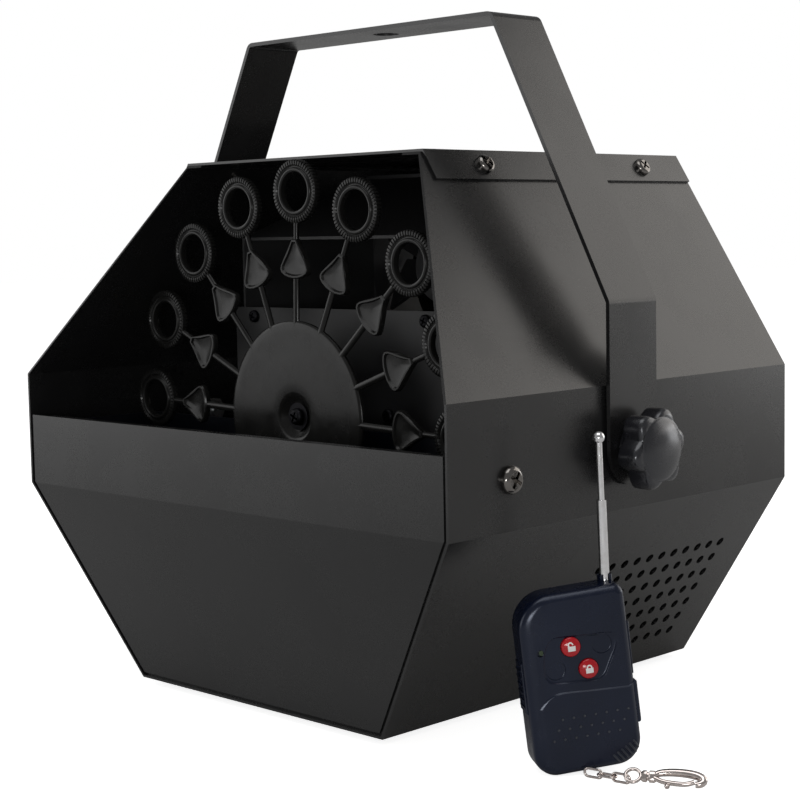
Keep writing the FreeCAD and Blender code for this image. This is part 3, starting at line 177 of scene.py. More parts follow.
def clear_glass(name):
    s = Shader(name)
    s.link(s.remap(s.noise(3, 3), 0.03, 0.1), s.bsdf.inputs["Roughness"])
    s.set(Transmission_Weight=0.9, IOR=1.45, Base_Color=(0.9, 0.95, 0.93, 1))
    return s.material


PAINT = powder_coat("powder_coat_black", (0.0072, 0.0072, 0.0074), 0.255, 0.04)
# darker copy of the housing paint for the bulkhead and air duct: painted shade for the inside of the mouth
SHADED_INNER_PAINT = powder_coat("powder_coat_inside_painted_shade", (0.0055, 0.0055, 0.006), 0.5, 0.04)
TANK_PAINT = powder_coat("enamel_tank", (0.003, 0.0042, 0.008), 0.36, 0.03)
WORN_EDGE = powder_coat("powder_coat_edge", (0.045, 0.044, 0.042), 0.38, 0.1)
WHEEL_PLASTIC = moulded("wheel_plastic", (0.0075, 0.0074, 0.0071), 0.22, 0.5, 0.008, 1.35, 0.22)
DARK_PLASTIC = moulded("dark_plastic", (0.016, 0.016, 0.017), 0.42)
KNOB_PLASTIC = moulded("knob_plastic", (0.007, 0.007, 0.009), 0.24, 0.7, 0.006, 1.35, 0.8, (0.94, 0.96, 1.0))
REMOTE_PLASTIC = moulded("remote_plastic", (0.0025, 0.0045, 0.0135), 0.23, 0.9, 0.004, 1.35, 0.46,
                         (0.78, 0.84, 1.0))
# paler, shinier copy of the case plastic for the grip dots and ribs: painted highlight where they stand out
REMOTE_PAINTED_HIGHLIGHT = moulded("remote_painted_highlight", (0.018, 0.02, 0.026), 0.3, 0.9, 0.004, 1.6, 0.9,
                      (0.9, 0.94, 1.0))
RED_PLASTIC = moulded("red_plastic", (0.42, 0.006, 0.012), 0.14, 0.8, 0.004, 1.1)
WHITE_INK = moulded("white_ink", (0.82, 0.82, 0.8), 0.35, 0.3, 0.004, 1.0)
LAMP_PLASTIC = moulded("lamp_plastic", (0.03, 0.05, 0.02), 0.15, 0.6, 0.003)
BOARD_GREEN = moulded("board_lacquer", (0.012, 0.09, 0.035), 0.3, 1.2, 0.02)
COIL_TAPE = moulded("coil_tape", (0.42, 0.27, 0.03), 0.4, 1.0, 0.03)
CELL_WRAP = moulded("cell_wrap", (0.05, 0.07, 0.3), 0.25)
FIBRE = moulded("pressed_fibre", (0.16, 0.05, 0.025), 0.7, 0.3, 0.03)
NICKEL = metal("nickel_plate", (0.2, 0.19, 0.18), 0.1)
BLACK_OXIDE = metal("black_oxide", (0.015, 0.015, 0.017), 0.45)
ZINC = metal("zinc_plate", (0.6, 0.62, 0.63), 0.32)
WARM_NICKEL = metal("warm_nickel", (0.7, 0.63, 0.6), 0.12)
CHROME = metal("chrome_plate", (0.82, 0.82, 0.83), 0.12, (1, 1, 0.1))
CAN_STEEL = metal("motor_can", (0.55, 0.54, 0.5), 0.35, (1, 0.1, 1))
BRASS = metal("brass", (0.72, 0.52, 0.22), 0.25)
RUBBER = rubber("foot_rubber", (0.014, 0.014, 0.014))
GLASS = clear_glass("fuse_glass")

NODE_LOOKS = {
    PAINT: ("housing_shell", "top_cover", "front_panel", "rear_panel", "handle_bracket"),
    SHADED_INNER_PAINT: ("bulkhead", "air_duct"),
    TANK_PAINT: ("fluid_tank",),
    NICKEL: ("cover_screws", "belt_screws", "slope_screws", "rear_screws", "fan_screws", "inlet_screws"),
    BLACK_OXIDE: ("duct_screws", "motor_screws", "hub_screw", "hub_washer"),
    ZINC: ("wheel_shaft", "board_spacers", "stud_right", "stud_left", "pivot_nuts"),
    RUBBER: ("feet",),
    CAN_STEEL: ("gear_motor",),
    WHEEL_PLASTIC: ("wand_wheel",),
    DARK_PLASTIC: ("fan_frame", "fan_rotor", "mains_inlet", "switch_body", "fuse_holder", "fuse_cap",
                   "board_parts"),
    BRASS: ("inlet_pins",),
    RED_PLASTIC: ("rocker", "remote_button_on", "remote_button_off"),
    GLASS: ("glass_fuse",),
    BOARD_GREEN: ("power_board", "receiver_board", "remote_board"),
    COIL_TAPE: ("transformer",),
    KNOB_PLASTIC: ("knob_right", "knob_left"),
    FIBRE: ("pivot_washers",),
    REMOTE_PLASTIC: ("remote_front", "remote_rear"),
    CELL_WRAP: ("remote_battery",),
    LAMP_PLASTIC: ("remote_led",),
    CHROME: ("aerial_outer", "aerial_inner"),
    WARM_NICKEL: ("key_chain", "key_clasp"),
}
EDGE_ROUNDING = {"housing_shell": 0.35, "top_cover": 0.35, "front_panel": 0.3, "rear_panel": 0.3,
                 "handle_bracket": 0.4, "bulkhead": 0.3, "fluid_tank": 0.3, "air_duct": 0.3}


def dress_cad_nodes():
    """Gives every CAD node its material, and the sheet parts a small worn rounding on their edges."""
    for material, names in NODE_LOOKS.items():
        for name in names:
            obj = nodes[name]
            obj.data.materials.clear()
            obj.data.materials.append(material)
            width = EDGE_ROUNDING.get(name)
            if width:
                if material == PAINT:
                    obj.data.materials.append(WORN_EDGE)
                bevel = obj.modifiers.new("edge", "BEVEL")
                bevel.width = width * MM
                bevel.segments = 2
                bevel.limit_method = "ANGLE"
                bevel.angle_limit = math.radians(28)
                bevel.material = 1 if material == PAINT else -1
                bevel.harden_normals = False


# ---- mesh helpers --------------------------------------------------------------------------------
def add_object(name, bm, material, body, smooth_angle=35.0):
    """Makes a piece from a bmesh in metres, smooth up to an angle, riding on a body."""
    bmesh.ops.recalc_face_normals(bm, faces=bm.faces)
    mesh = bpy.data.meshes.new(name)
    bm.to_mesh(mesh)
    bm.free()
    obj = bpy.data.objects.new(name, mesh)
    bpy.context.scene.collection.objects.link(obj)
    mesh.materials.append(material)
    mesh.shade_smooth()
    mesh.set_sharp_from_angle(angle=math.radians(smooth_angle))
    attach(obj, body)
    return obj


def even_shading(obj):
    """Lets the large flat faces of a piece set its shading."""
    weighted = obj.modifiers.new("even_shading", "WEIGHTED_NORMAL")
    weighted.keep_sharp = True
    weighted.weight = 100


def bridge(bm, first, second):
    """Quads between two closed loops of equal length."""
    count = len(first)
    for i in range(count):
        j = (i + 1) % count
        bm.faces.new((first[i], first[j], second[j], second[i]))


def stack(bm, loops, cap_start=True, cap_end=True):
    """Skin through closed loops of points, each a list of 3-D points in millimetres."""
    rings = [[bm.verts.new(Vector(p) * MM) for p in loop] for loop in loops]
    for first, second in zip(rings, rings[1:]):
        bridge(bm, first, second)
    if cap_start:
        bm.faces.new(rings[0])
    if cap_end:
        bm.faces.new(list(reversed(rings[-1])))
    return rings


def lathe(profile, place, segments):
    """Loops of a turned (r, height) profile; place(x, y, height) puts a point in the frame."""
    loops = []
    for radius, height in profile:
        loops.append([place(radius * math.cos(a), radius * math.sin(a), height)
                      for a in (2 * math.pi * i / segments for i in range(segments))])
    return loops


# ---- wand wheel ----------------------------------------------------------------------------------
WAND_COUNT = 16
WHEEL_REST_TURN = math.radians(2.0)
RING_CENTRE = 88.5
RING_SEGMENTS = 72
RING_RIBS = 52
RIB_HALF_WIDTH = 0.36
RING_HALF_DEPTH = 1.75
# section of a ring: radius and depth from its middle plane, inner bead first, front side
RING_SECTION = ((7.6, 0.8), (7.75, 1.35), (8.2, 1.65), (8.8, 1.65), (9.2, 1.35), (9.35, 0.95), (9.7, 0.85),
                (10.2, 1.15), (11.8, 1.05), (12.0, 0.6))
RIB_SECTION = ((9.9, 1.05), (10.4, 1.55), (11.7, 1.6), (12.3, 1.2), (12.4, 0.5))
HUB_R = 38.0
# right half of a paddle's outline: sideways, and distance from the hub's middle
PADDLE_OUTLINE = ((0.0, 54.4), (3.0, 54.7), (5.6, 55.5), (7.4, 56.6), (8.0, 57.9), (7.6, 59.5), (6.5, 61.5),
                  (5.0, 63.9), (3.4, 66.3), (2.1, 68.4), (1.2, 70.0))


def closed_paddle():
    right = list(PADDLE_OUTLINE)
    left = [(-x, r) for x, r in reversed(right) if x > 0]
    return right + left


def shrunk(points, amount):
    """Outline drawn in towards its middle by about amount."""
    cx = sum(p[0] for p in points) / len(points)
    cy = sum(p[1] for p in points) / len(points)
    moved = []
    for x, y in points:
        dx, dy = cx - x, cy - y
        length = math.hypot(dx, dy)
        moved.append((x + dx / length * amount, y + dy / length * amount))
    return moved


def wheel_centre():
    low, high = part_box("wand_wheel")
    return Vector(((low.x + high.x) / 2, low.y + RING_HALF_DEPTH * MM, (low.z + high.z) / 2)) / MM


def there_and_back(section):
    """A section's front side followed by its mirror image at the back."""
    return [(r, -d) for r, d in section] + [(r, d) for r, d in reversed(section)]


def add_wand(bm, centre, angle):
    """One wand at an angle from straight up: stem, dished paddle, neck and ribbed ring."""
    turn = Matrix.Rotation(angle, 3, "Y")

    def place(x, depth, radius):
        return centre + turn @ Vector((x, depth, radius))

    def bar(start, end, half_x, half_y):
        loops = []
        for radius, swell in ((start, 1.25), (start + 2.5, 1.0), (end - 1.5, 1.0), (end, 1.2)):
            loops.append([place(half_x * swell * math.cos(a), half_y * math.sin(a), radius)
                          for a in (2 * math.pi * (i + 0.5) / 10 for i in range(10))])
        stack(bm, loops)

    def on_ring(radius, depth, around, sideways=0.0):
        return place(radius * math.sin(around) + sideways * math.cos(around), depth,
                     RING_CENTRE + radius * math.cos(around) - sideways * math.sin(around))

    bar(HUB_R - 2.0, PADDLE_OUTLINE[0][1] + 1.2, 1.45, 1.15)
    bar(PADDLE_OUTLINE[-1][1] - 1.2, RING_CENTRE - RING_SECTION[-1][0] + 0.6, 1.2, 1.05)
    outline = closed_paddle()
    rim, floor, dish = shrunk(outline, 0.45), shrunk(outline, 1.15), shrunk(outline, 1.75)
    middle = shrunk(outline, 4.0)
    layers = [(middle, 0.6), (dish, 0.75), (floor, 1.3), (rim, 1.3), (outline, 0.9), (outline, -1.1),
              (rim, -1.6), (floor, -1.6), (dish, -0.75), (middle, -0.45)]
    stack(bm, [[place(x, depth, radius) for x, radius in points] for points, depth in layers])
    section = there_and_back(RING_SECTION)
    loops = [[on_ring(r, depth, 2 * math.pi * i / RING_SEGMENTS) for r, depth in section]
             for i in range(RING_SEGMENTS)]
    rings = stack(bm, loops, False, False)
    bridge(bm, rings[-1], rings[0])
    section = there_and_back(RIB_SECTION)
    for i in range(RING_RIBS):
        around = 2 * math.pi * i / RING_RIBS
        stack(bm, [[on_ring(r, depth, around, side) for r, depth in section]
                   for side in (-RIB_HALF_WIDTH, RIB_HALF_WIDTH)])


def build_wheel():
    centre = wheel_centre()
    bm = bmesh.new()
    for i in range(WAND_COUNT):
        add_wand(bm, centre, WHEEL_REST_TURN + 2 * math.pi * i / WAND_COUNT)
    # radius and depth from the wheel's middle plane: dimple, face, rim, back, boss
    hub = ((3.05, 1.7), (5.6, 1.65), (6.1, 1.45), (8.2, -0.35), (8.9, -0.8), (10.0, -1.0), (14, -1.05),
           (24, -1.1), (34, -1.05), (36.6, -1.1), (37.5, -0.95), (HUB_R, -0.5), (HUB_R, 0.6), (37.5, 1.0),
           (9.6, 1.0), (8.4, 2.2), (8.0, 3.2), (7.8, 9.6), (7.2, 10.0), (3.05, 10.0))

    def place(x, z, height):
        return centre + Vector((x, height, z))

    rings = stack(bm, lathe(hub, place, 96), False, False)
    bridge(bm, rings[-1], rings[0])
    wheel = add_object("wand_wheel_detail", bm, WHEEL_PLASTIC, "wheel", 40)
    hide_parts("wand_wheel")


# ---- knobs ---------------------------------------------------------------------------------------
KNOB_LOBES = 6
KNOB_REST_TURN = math.radians(-19.0)
KNOB_R = 15.3
KNOB_VALLEY_R = 11.9
KNOB_STEPS = 144
# height from the bar's side, size, and how lobed the outline is there (1 lobed, 0 round)
KNOB_SECTIONS = ((3.0, 0.86, 1.0), (3.2, 0.94, 1.0), (3.9, 0.99, 1.0), (5.2, 1.0, 1.0), (10.2, 1.0, 1.0),
                 (11.1, 0.985, 1.0), (11.8, 0.95, 1.0), (12.25, 0.9, 0.95), (12.5, 0.85, 0.7))
KNOB_FACE = ((11.9, 12.45), (11.5, 12.55), (11.2, 12.85), (10.4, 13.2), (8.6, 13.75), (6.4, 14.2),
             (4.0, 14.48), (1.6, 14.6))


def knob_radius(angle, size, lobed):
    lobe = (0.5 + 0.5 * math.cos(KNOB_LOBES * angle)) ** 0.7
    scalloped = KNOB_VALLEY_R + (KNOB_R - KNOB_VALLEY_R) * lobe
    plain = KNOB_VALLEY_R + 0.9
    return size * (plain + (scalloped - plain) * lobed)


def build_knob(node, body, side):
    """Star knob with rounded lobes and a domed face; side is 1 on the right and -1 on the left."""
    low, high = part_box(node)
    inner = (low.x if side > 0 else high.x) / MM
    y, z = (low.y + high.y) / 2 / MM, (low.z + high.z) / 2 / MM
    steps = [2 * math.pi * i / KNOB_STEPS for i in range(KNOB_STEPS)]

    def ring(height, radius_at):
        points = []
        for angle in steps:
            radius = radius_at(angle)
            turned = angle + KNOB_REST_TURN
            points.append(Vector((inner + side * height, y - radius * math.sin(turned),
                                  z + radius * math.cos(turned))))
        return points

    loops = [ring(0.0, lambda angle: 9.0), ring(0.4, lambda angle: 9.5), ring(2.9, lambda angle: 9.5)]
    for height, size, lobed in KNOB_SECTIONS:
        loops.append(ring(height, lambda angle, s=size, w=lobed: knob_radius(angle, s, w)))
    for radius, height in KNOB_FACE:
        loops.append(ring(height, lambda angle, r=radius: r))
    bm = bmesh.new()
    stack(bm, loops)
    knob = add_object(node + "_detail", bm, KNOB_PLASTIC, body, 30)
    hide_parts(node)


# ---- remote control ------------------------------------------------------------------------------
# Local axes: x to the right and z up along its front face, y into the case; the origin is at the
# middle of its lower edge.
REMOTE_LEAN = math.radians(6.5)
CELL_CENTRE = (-3.0, 2.8, 8.0)     # the battery's middle, whose node gives the origin's place
CASE_HALF_WIDTH = 19.0
CASE_HEIGHT = 63.0
CASE_FRONT = -7.0
CASE_SPLIT = 0.4
ARC_STEPS = 14
# which way from the middle, start of its arc in degrees, and radius of each corner
CASE_CORNERS = ((1, 1, 0, 3.5), (-1, 1, 90, 12.0), (-1, -1, 180, 8.0), (1, -1, 270, 9.0))
# the rounded front edge: how far in from the outline, and depth
CASE_EDGE = ((0.0, CASE_SPLIT), (0.0, -3.6), (0.15, -4.6), (0.5, -5.5), (1.1, -6.1), (1.8, -6.55),
             (2.6, CASE_FRONT))
LEFT_EDGE_EXTRA = 2.0              # the front edge's rounding is wider on the left
COVER_RISE = 0.45                  # the battery cover stands proud by this
COVER_TOP_LINE = ((18.9, 28.6), (6.0, 29.3), (-2.0, 29.9), (-6.7, 30.2), (-9.6, 29.9), (-12.0, 28.8),
                  (-14.0, 27.2), (-15.6, 25.4))
COVER_LEFT_X = -16.4
COVER_LEFT_ROUNDING = 2.4
COVER_BEND_X = -6.0                # left of this the cover's top line bends down
# hollow round the buttons
PANEL_LINE = ((-6.0, 48.4), (3.0, 47.9), (10.8, 47.4), (13.3, 46.8), (14.3, 44.9), (13.6, 41.6),
              (11.4, 37.2), (9.2, 33.2), (7.2, 31.6), (4.6, 31.1), (-3.0, 31.7), (-9.6, 32.4),
              (-11.6, 33.6), (-12.5, 36.0), (-12.2, 40.6), (-11.0, 45.0), (-9.2, 47.6))
PANEL_DEPTH = 0.5
BLANKS = ((8.8, 43.6), (-8.2, 37.0))
BLANK_R = 3.5
BUTTONS = {"on": (-2.1, 44.3), "off": (3.2, 35.8)}
BUTTON_R = 3.4
LAMP_PLACE = (-12.9, 43.7)
LAMP_R = 1.2
LAMP_HOLE_DEPTH = 1.3
BUTTON_HOLE_GAP = 0.25
BUTTON_HOLE_DEPTH = 1.2
# pads on the narrow sides: side, low and high end, how far out at each, front and back depth
SIDE_PADS = ((1, 31.0, 49.5, 0.25, 0.7, -5.0, 5.0), (1, 13.8, 28.6, 1.0, 1.0, -5.4, 5.0),
             (-1, 22.5, 40.4, 0.6, 0.4, -3.6, 5.2))
RIDGE_COUNT = 6                    # on the left pad
RIDGE_START = 24.2
RIDGE_PITCH = 2.6
DOTS_IN_ROW = 7
DOT_R = 0.48
DOT_HEIGHT = 0.4
RIB_HEIGHT = 0.55
RIB_HALF = 0.36
DOT_ROWS = ((-8.1, 19.9), (-9.9, 16.4), (-11.9, 12.9))
DOT_PITCH = 3.87
RIB_COUNT = 6


def remote_axes():
    """Origin and x, y, z directions of the remote control, from its button's joint and its battery."""
    press = next(j for j in frame["joints"] if j["name"] == "button_on_press")
    inward = Vector(press["axis"]).normalized()
    level = Vector((inward.y, -inward.x, 0.0))
    up = Vector((0.0, 0.0, 1.0))
    along = level * math.cos(REMOTE_LEAN) + up * math.sin(REMOTE_LEAN)
    rise = up * math.cos(REMOTE_LEAN) - level * math.sin(REMOTE_LEAN)
    low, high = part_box("remote_battery")
    x, y, z = CELL_CENTRE
    origin = (low + high) / 2 / MM - along * x - inward * y - rise * z
    return origin, along, inward, rise


REMOTE_ORIGIN, REMOTE_X, REMOTE_Y, REMOTE_Z = remote_axes()


def on_remote(x, y, z):
    return REMOTE_ORIGIN + REMOTE_X * x + REMOTE_Y * y + REMOTE_Z * z


def case_outline(inset):
    """The case's outline, anticlockwise from the right, drawn in by inset."""
    points = []
    for side, end, start, radius in CASE_CORNERS:
        r = max(radius - inset, 0.3)
        cx = side * (CASE_HALF_WIDTH - inset - r)
        cz = CASE_HEIGHT - inset - r if end > 0 else inset + r
        for i in range(ARC_STEPS + 1):
            a = math.radians(start + 90.0 * i / ARC_STEPS)
            points.append((cx + r * math.cos(a), cz + r * math.sin(a)))
    return points


def edge_loop(inset, y):
    """One loop of the front edge, with the wider rounding on the left."""
    wide = LEFT_EDGE_EXTRA * (inset / CASE_EDGE[-1][0]) ** 3
    return [on_remote(x + wide * max(0.0, -x / CASE_HALF_WIDTH) ** 2, y, z)
            for x, z in case_outline(inset)]


def smooth_line(points, steps=4, closed=True):
    """Catmull-Rom curve through flat points."""
    count = len(points)
    result = []
    for i in range(count if closed else count - 1):
        pick = [points[(i + k) % count] if closed else points[min(max(i + k, 0), count - 1)]
                for k in (-1, 0, 1, 2)]
        for j in range(steps):
            t = j / steps
            weights = (-t + 2 * t * t - t ** 3, 2 - 5 * t * t + 3 * t ** 3,
                       t + 4 * t * t - 3 * t ** 3, t ** 3 - t * t)
            result.append(tuple(sum(w * p[axis] for w, p in zip(weights, pick)) / 2 for axis in (0, 1)))
    if not closed:
        result.append(points[-1])
    return result


def circle_line(x, z, radius, steps=28):
    return [(x + radius * math.cos(2 * math.pi * i / steps), z + radius * math.sin(2 * math.pi * i / steps))
            for i in range(steps)]


def flat_with_holes(bm, outer, holes):
    """Fills the flat region between an outer ring of vertices and rings inside it."""
    edges = []
    for ring in [outer] + holes:
        for first, second in zip(ring, ring[1:] + ring[:1]):
            edges.append(bm.edges.get((first, second)) or bm.edges.new((first, second)))
    bmesh.ops.triangle_fill(bm, use_beauty=True, use_dissolve=False, edges=edges)


def sunk(bm, line, layers, cap=True):
    """A hollow going into the case from a flat line by (inset, depth) layers; gives its end rings."""
    loops = []
    for inset, y in layers:
        loops.append([on_remote(x, y, z) for x, z in (shrunk(line, inset) if inset else line)])
    rings = stack(bm, loops, False, cap)
    return rings[0], rings[-1]


def add_front_shell(bm):
    """Case front with rounded edges and the shallow hollow round the buttons."""
    rings = stack(bm, [edge_loop(inset, y) for inset, y in CASE_EDGE], True, False)
    floor_y = CASE_FRONT + PANEL_DEPTH
    line = smooth_line(PANEL_LINE)
    rim, floor = sunk(bm, line, ((0.0, CASE_FRONT), (0.15, CASE_FRONT + 0.08), (0.5, floor_y - 0.1),
                                 (0.9, floor_y)), cap=False)
    x, z = LAMP_PLACE
    lamp = sunk(bm, circle_line(x, z, LAMP_R), ((0.0, CASE_FRONT), (0.05, CASE_FRONT + LAMP_HOLE_DEPTH)))[0]
    flat_with_holes(bm, rings[-1], [rim, lamp])
    holes = []
    blank_layers = ((0.0, floor_y), (0.1, floor_y + 0.3), (0.35, floor_y + 0.4))
    for x, z in BLANKS:
        holes.append(sunk(bm, circle_line(x, z, BLANK_R), blank_layers)[0])
    button_layers = ((0.0, floor_y), (0.05, floor_y + BUTTON_HOLE_DEPTH))
    for x, z in BUTTONS.values():
        holes.append(sunk(bm, circle_line(x, z, BUTTON_R + BUTTON_HOLE_GAP), button_layers)[0])
    flat_with_holes(bm, floor, holes)


def cover_line(inset):
    """Outline of the battery cover: the case's own outline below the step line, rounder on the left."""
    left_x = COVER_LEFT_X + COVER_LEFT_ROUNDING * (inset / CASE_EDGE[-1][0]) ** 3
    corner_x = COVER_TOP_LINE[-1][0]
    top = []
    for x, z in COVER_TOP_LINE:
        share = max(0.0, (COVER_BEND_X - x) / (COVER_BEND_X - corner_x))
        top.append((x + (left_x - corner_x) * share, z - 0.6 * inset))
    top[0] = (CASE_HALF_WIDTH - inset, top[0][1])
    lower = case_outline(inset)[2 * (ARC_STEPS + 1):]
    bottom_left = [(max(x, left_x), z) for x, z in lower[:ARC_STEPS + 1]]
    return smooth_line(top, 4, closed=False) + bottom_left + lower[ARC_STEPS + 1:]


def add_battery_cover(bm):
    loops = []
    for inset, y in CASE_EDGE[2:]:
        proud = COVER_RISE * min(1.0, 0.4 + inset / CASE_EDGE[-1][0])
        loops.append([on_remote(x, y - proud, z) for x, z in cover_line(inset)])
    inner = [on_remote(x, CASE_FRONT + 1.0, z) for x, z in cover_line(1.2)]
    stack(bm, [inner] + loops)


def add_dome(bm, x, z, y, radius, height, steps=10):
    """Small raised dot on the face."""
    loops = []
    for size, rise in ((1.0, -0.1), (1.0, 0.0), (0.8, 0.6), (0.45, 0.92)):
        line = circle_line(x, z, radius * size, steps)
        loops.append([on_remote(px, y - height * rise, pz) for px, pz in line])
    stack(bm, loops)


def add_bar(bm, path, half_width, height):
    """Round-topped rib along a path of (x, y, z); it stands out towards the front."""
    loops = []
    start, end = Vector(path[0]), Vector(path[-1])
    across = (end - start).cross(Vector((0, 1, 0))).normalized() * half_width
    for point in path:
        middle = Vector(point)
        section = [middle + across + Vector((0, 0.6, 0)), middle + across,
                   middle + across * 0.6 - Vector((0, height * 0.8, 0)), middle - Vector((0, height, 0)),
                   middle - across * 0.6 - Vector((0, height * 0.8, 0)), middle - across,
                   middle - across + Vector((0, 0.6, 0))]
        loops.append([on_remote(*p) for p in section])
    stack(bm, loops)


def add_side_pad(bm, side, low, high, out_low, out_high, y0, y1):
    """Raised pad on a narrow side of the case, from height low to high."""
    loops = []
    edge = side * CASE_HALF_WIDTH
    for inset, share in ((0.0, -0.6), (0.0, 0.3), (0.35, 0.8), (0.8, 1.0)):
        corners = []
        for y, z, out in ((y0 + inset, low + inset, out_low), (y1 - inset, low + inset, out_low),
                          (y1 - inset, high - inset, out_high), (y0 + inset, high - inset, out_high)):
            corners.append(on_remote(edge + side * out * share, y, z))
        loops.append(corners)
    stack(bm, loops)


def corner_depth(x, z):
    """Depth of the case's front near its lower right corner."""
    radius = CASE_CORNERS[3][3]
    cx, cz = CASE_HALF_WIDTH - radius, radius
    if x > cx and z < cz:
        inset = radius - math.hypot(x - cx, z - cz)
    else:
        inset = min(CASE_HALF_WIDTH - x, z)
    for (near, y0), (far, y1) in zip(CASE_EDGE, CASE_EDGE[1:]):
        if near < far and inset < far:
            return y0 + (y1 - y0) * max(0.0, inset - near) / (far - near)
    return CASE_FRONT


def build_remote_case():
    bm = bmesh.new()
    add_front_shell(bm)
    add_battery_cover(bm)
    for pad in SIDE_PADS:
        add_side_pad(bm, *pad)
    for i in range(RIDGE_COUNT):
        z = RIDGE_START + RIDGE_PITCH * i
        add_side_pad(bm, -1, z, z + 1.0, 0.85, 0.8, -3.0, 4.6)
    case = add_object("remote_front_detail", bm, REMOTE_PLASTIC, "remote", 30)
    even_shading(case)
    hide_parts("remote_front")


def build_remote_grip():
    """Raised dots and slanted ribs on the battery cover, in a paler, shinier plastic than the case: a
    painted highlight on them.
    """
    bm = bmesh.new()
    cover_y = CASE_FRONT - COVER_RISE
    for x0, z0 in DOT_ROWS:
        for i in range(DOTS_IN_ROW):
            add_dome(bm, x0 + DOT_PITCH * i, z0, cover_y, DOT_R, DOT_HEIGHT)
    for i in range(RIB_COUNT):
        x0, z0 = 8.0 + 1.5 * i, 4.6 + 0.8 * i
        x1, z1 = 10.6 + 1.45 * i, 1.1 + 0.72 * i
        path = []
        for t in (0.0, 0.12, 0.35, 0.6, 0.8, 1.0):
            x, z = x0 + (x1 - x0) * t, z0 + (z1 - z0) * t
            path.append((x, corner_depth(x, z) - COVER_RISE + (0.3 if t == 0.0 else 0.0), z))
        add_bar(bm, path, RIB_HALF, RIB_HEIGHT)
    grip = add_object("remote_grip", bm, REMOTE_PAINTED_HIGHLIGHT, "remote", 30)


def dome_height(radius):
    """Depth of a button's domed top at a distance from its middle."""
    return CASE_FRONT - 1.25 + 0.9 * (radius / BUTTON_R) ** 2


def build_button(name):
    """Round red button with a domed top, from its stem's end outwards."""
    x, z = BUTTONS[name]
    profile = [(BUTTON_R, -4.4), (BUTTON_R, CASE_FRONT), (BUTTON_R - 0.1, CASE_FRONT - 0.3)]
    profile += [(r, dome_height(r)) for r in (3.05, 2.5, 1.9, 1.2, 0.5)]
    bm = bmesh.new()
    stack(bm, [[on_remote(px, y, pz) for px, pz in circle_line(x, z, r, 40)] for r, y in profile])
    button = add_object("remote_button_" + name + "_detail", bm, RED_PLASTIC, "button_" + name, 50)
    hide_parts("remote_button_" + name)


def printed(bm, line, x, z):
    """Thin printed patch on a button's dome, from a flat outline about its middle."""
    def layer(lift):
        return [on_remote(x + px, dome_height(math.hypot(px, pz)) - lift, z + pz) for px, pz in line]
    stack(bm, [layer(-0.15), layer(0.06)])


def shackle_line(shift, turn, inner, outer, leg):
    """Outline of a padlock's bow: an arch with two legs, opened by shift and turn."""
    turns = [math.pi * i / 10 for i in range(11)]
    arch = [(outer * math.cos(a), outer * math.sin(a)) for a in turns]
    hollow = [(inner * math.cos(a), inner * math.sin(a)) for a in reversed(turns)]
    line = [(outer, -leg)] + arch + [(-outer, -leg), (-inner, -leg)] + hollow + [(inner, -leg)]
    c, s = math.cos(turn), math.sin(turn)
    return [(shift[0] + c * px - s * pz, shift[1] + s * px + c * pz) for px, pz in line]


def build_padlock(name, shift, turn):
    """Generic padlock sign printed on a button: a body of small cells, then the bow."""
    x, z = BUTTONS[name]
    bm = bmesh.new()
    cell = 0.44
    for column in range(-3, 3):
        for row in range(-3, 1):
            px, pz = column * cell, row * cell
            printed(bm, [(px, pz), (px + cell, pz), (px + cell, pz + cell), (px, pz + cell)], x, z)
    line = shackle_line(shift, turn, 0.5, 0.98, 0.4)
    half = len(line) // 2
    for i in range(half - 1):
        printed(bm, [line[i], line[i + 1], line[-2 - i], line[-1 - i]], x, z)
    mark = add_object("remote_sign_" + name, bm, WHITE_INK, "button_" + name, 60)


def build_remote():
    build_remote_case()
    build_remote_grip()
    build_button("on")
    build_button("off")
    build_padlock("on", (-0.35, 0.95), math.radians(24))
    build_padlock("off", (0.0, 0.62), 0.0)


# ---- studio --------------------------------------------------------------------------------------
CAMERA_PLACE = Vector((520.4, -525.4, 186.2)) * MM
CAMERA_AZIMUTH = 44.72
CAMERA_PITCH = 5.39
CAMERA_ROLL = -1.10
CAMERA_LENS = 79.9


def add_camera():
    azimuth, pitch, roll = (math.radians(a) for a in (CAMERA_AZIMUTH, CAMERA_PITCH, CAMERA_ROLL))
    forward = Vector((-math.sin(azimuth) * math.cos(pitch), math.cos(azimuth) * math.cos(pitch),
                      -math.sin(pitch)))
    level = Vector((math.cos(azimuth), math.sin(azimuth), 0))
    upright = level.cross(forward)
    right = level * math.cos(roll) + upright * math.sin(roll)
    up = upright * math.cos(roll) - level * math.sin(roll)
    data = bpy.data.cameras.new("camera")
    data.lens = CAMERA_LENS
    data.sensor_width = 36.0
    camera = bpy.data.objects.new("camera", data)
    axes = Matrix((right, up, -forward)).transposed().to_4x4()
    camera.matrix_world = Matrix.Translation(CAMERA_PLACE) @ axes
    bpy.context.scene.collection.objects.link(camera)
    bpy.context.scene.camera = camera


def add_light(name, place, target, size, power, colour=(1, 1, 1)):
    data = bpy.data.lights.new(name, "AREA")
    data.shape = "RECTANGLE"
    data.size, data.size_y = size
    data.energy = power
    data.color = colour
    light = bpy.data.objects.new(name, data)
    light.location = place
    light.rotation_euler = (Vector(target) - Vector(place)).to_track_quat("-Z", "Y").to_euler()
    bpy.context.scene.collection.objects.link(light)


def seen_directly(tree):
    """1 for what the camera sees itself, 0 for what only lights or reflects in the object."""
    return tree.nodes.new("ShaderNodeLightPath").outputs["Is Camera Ray"]


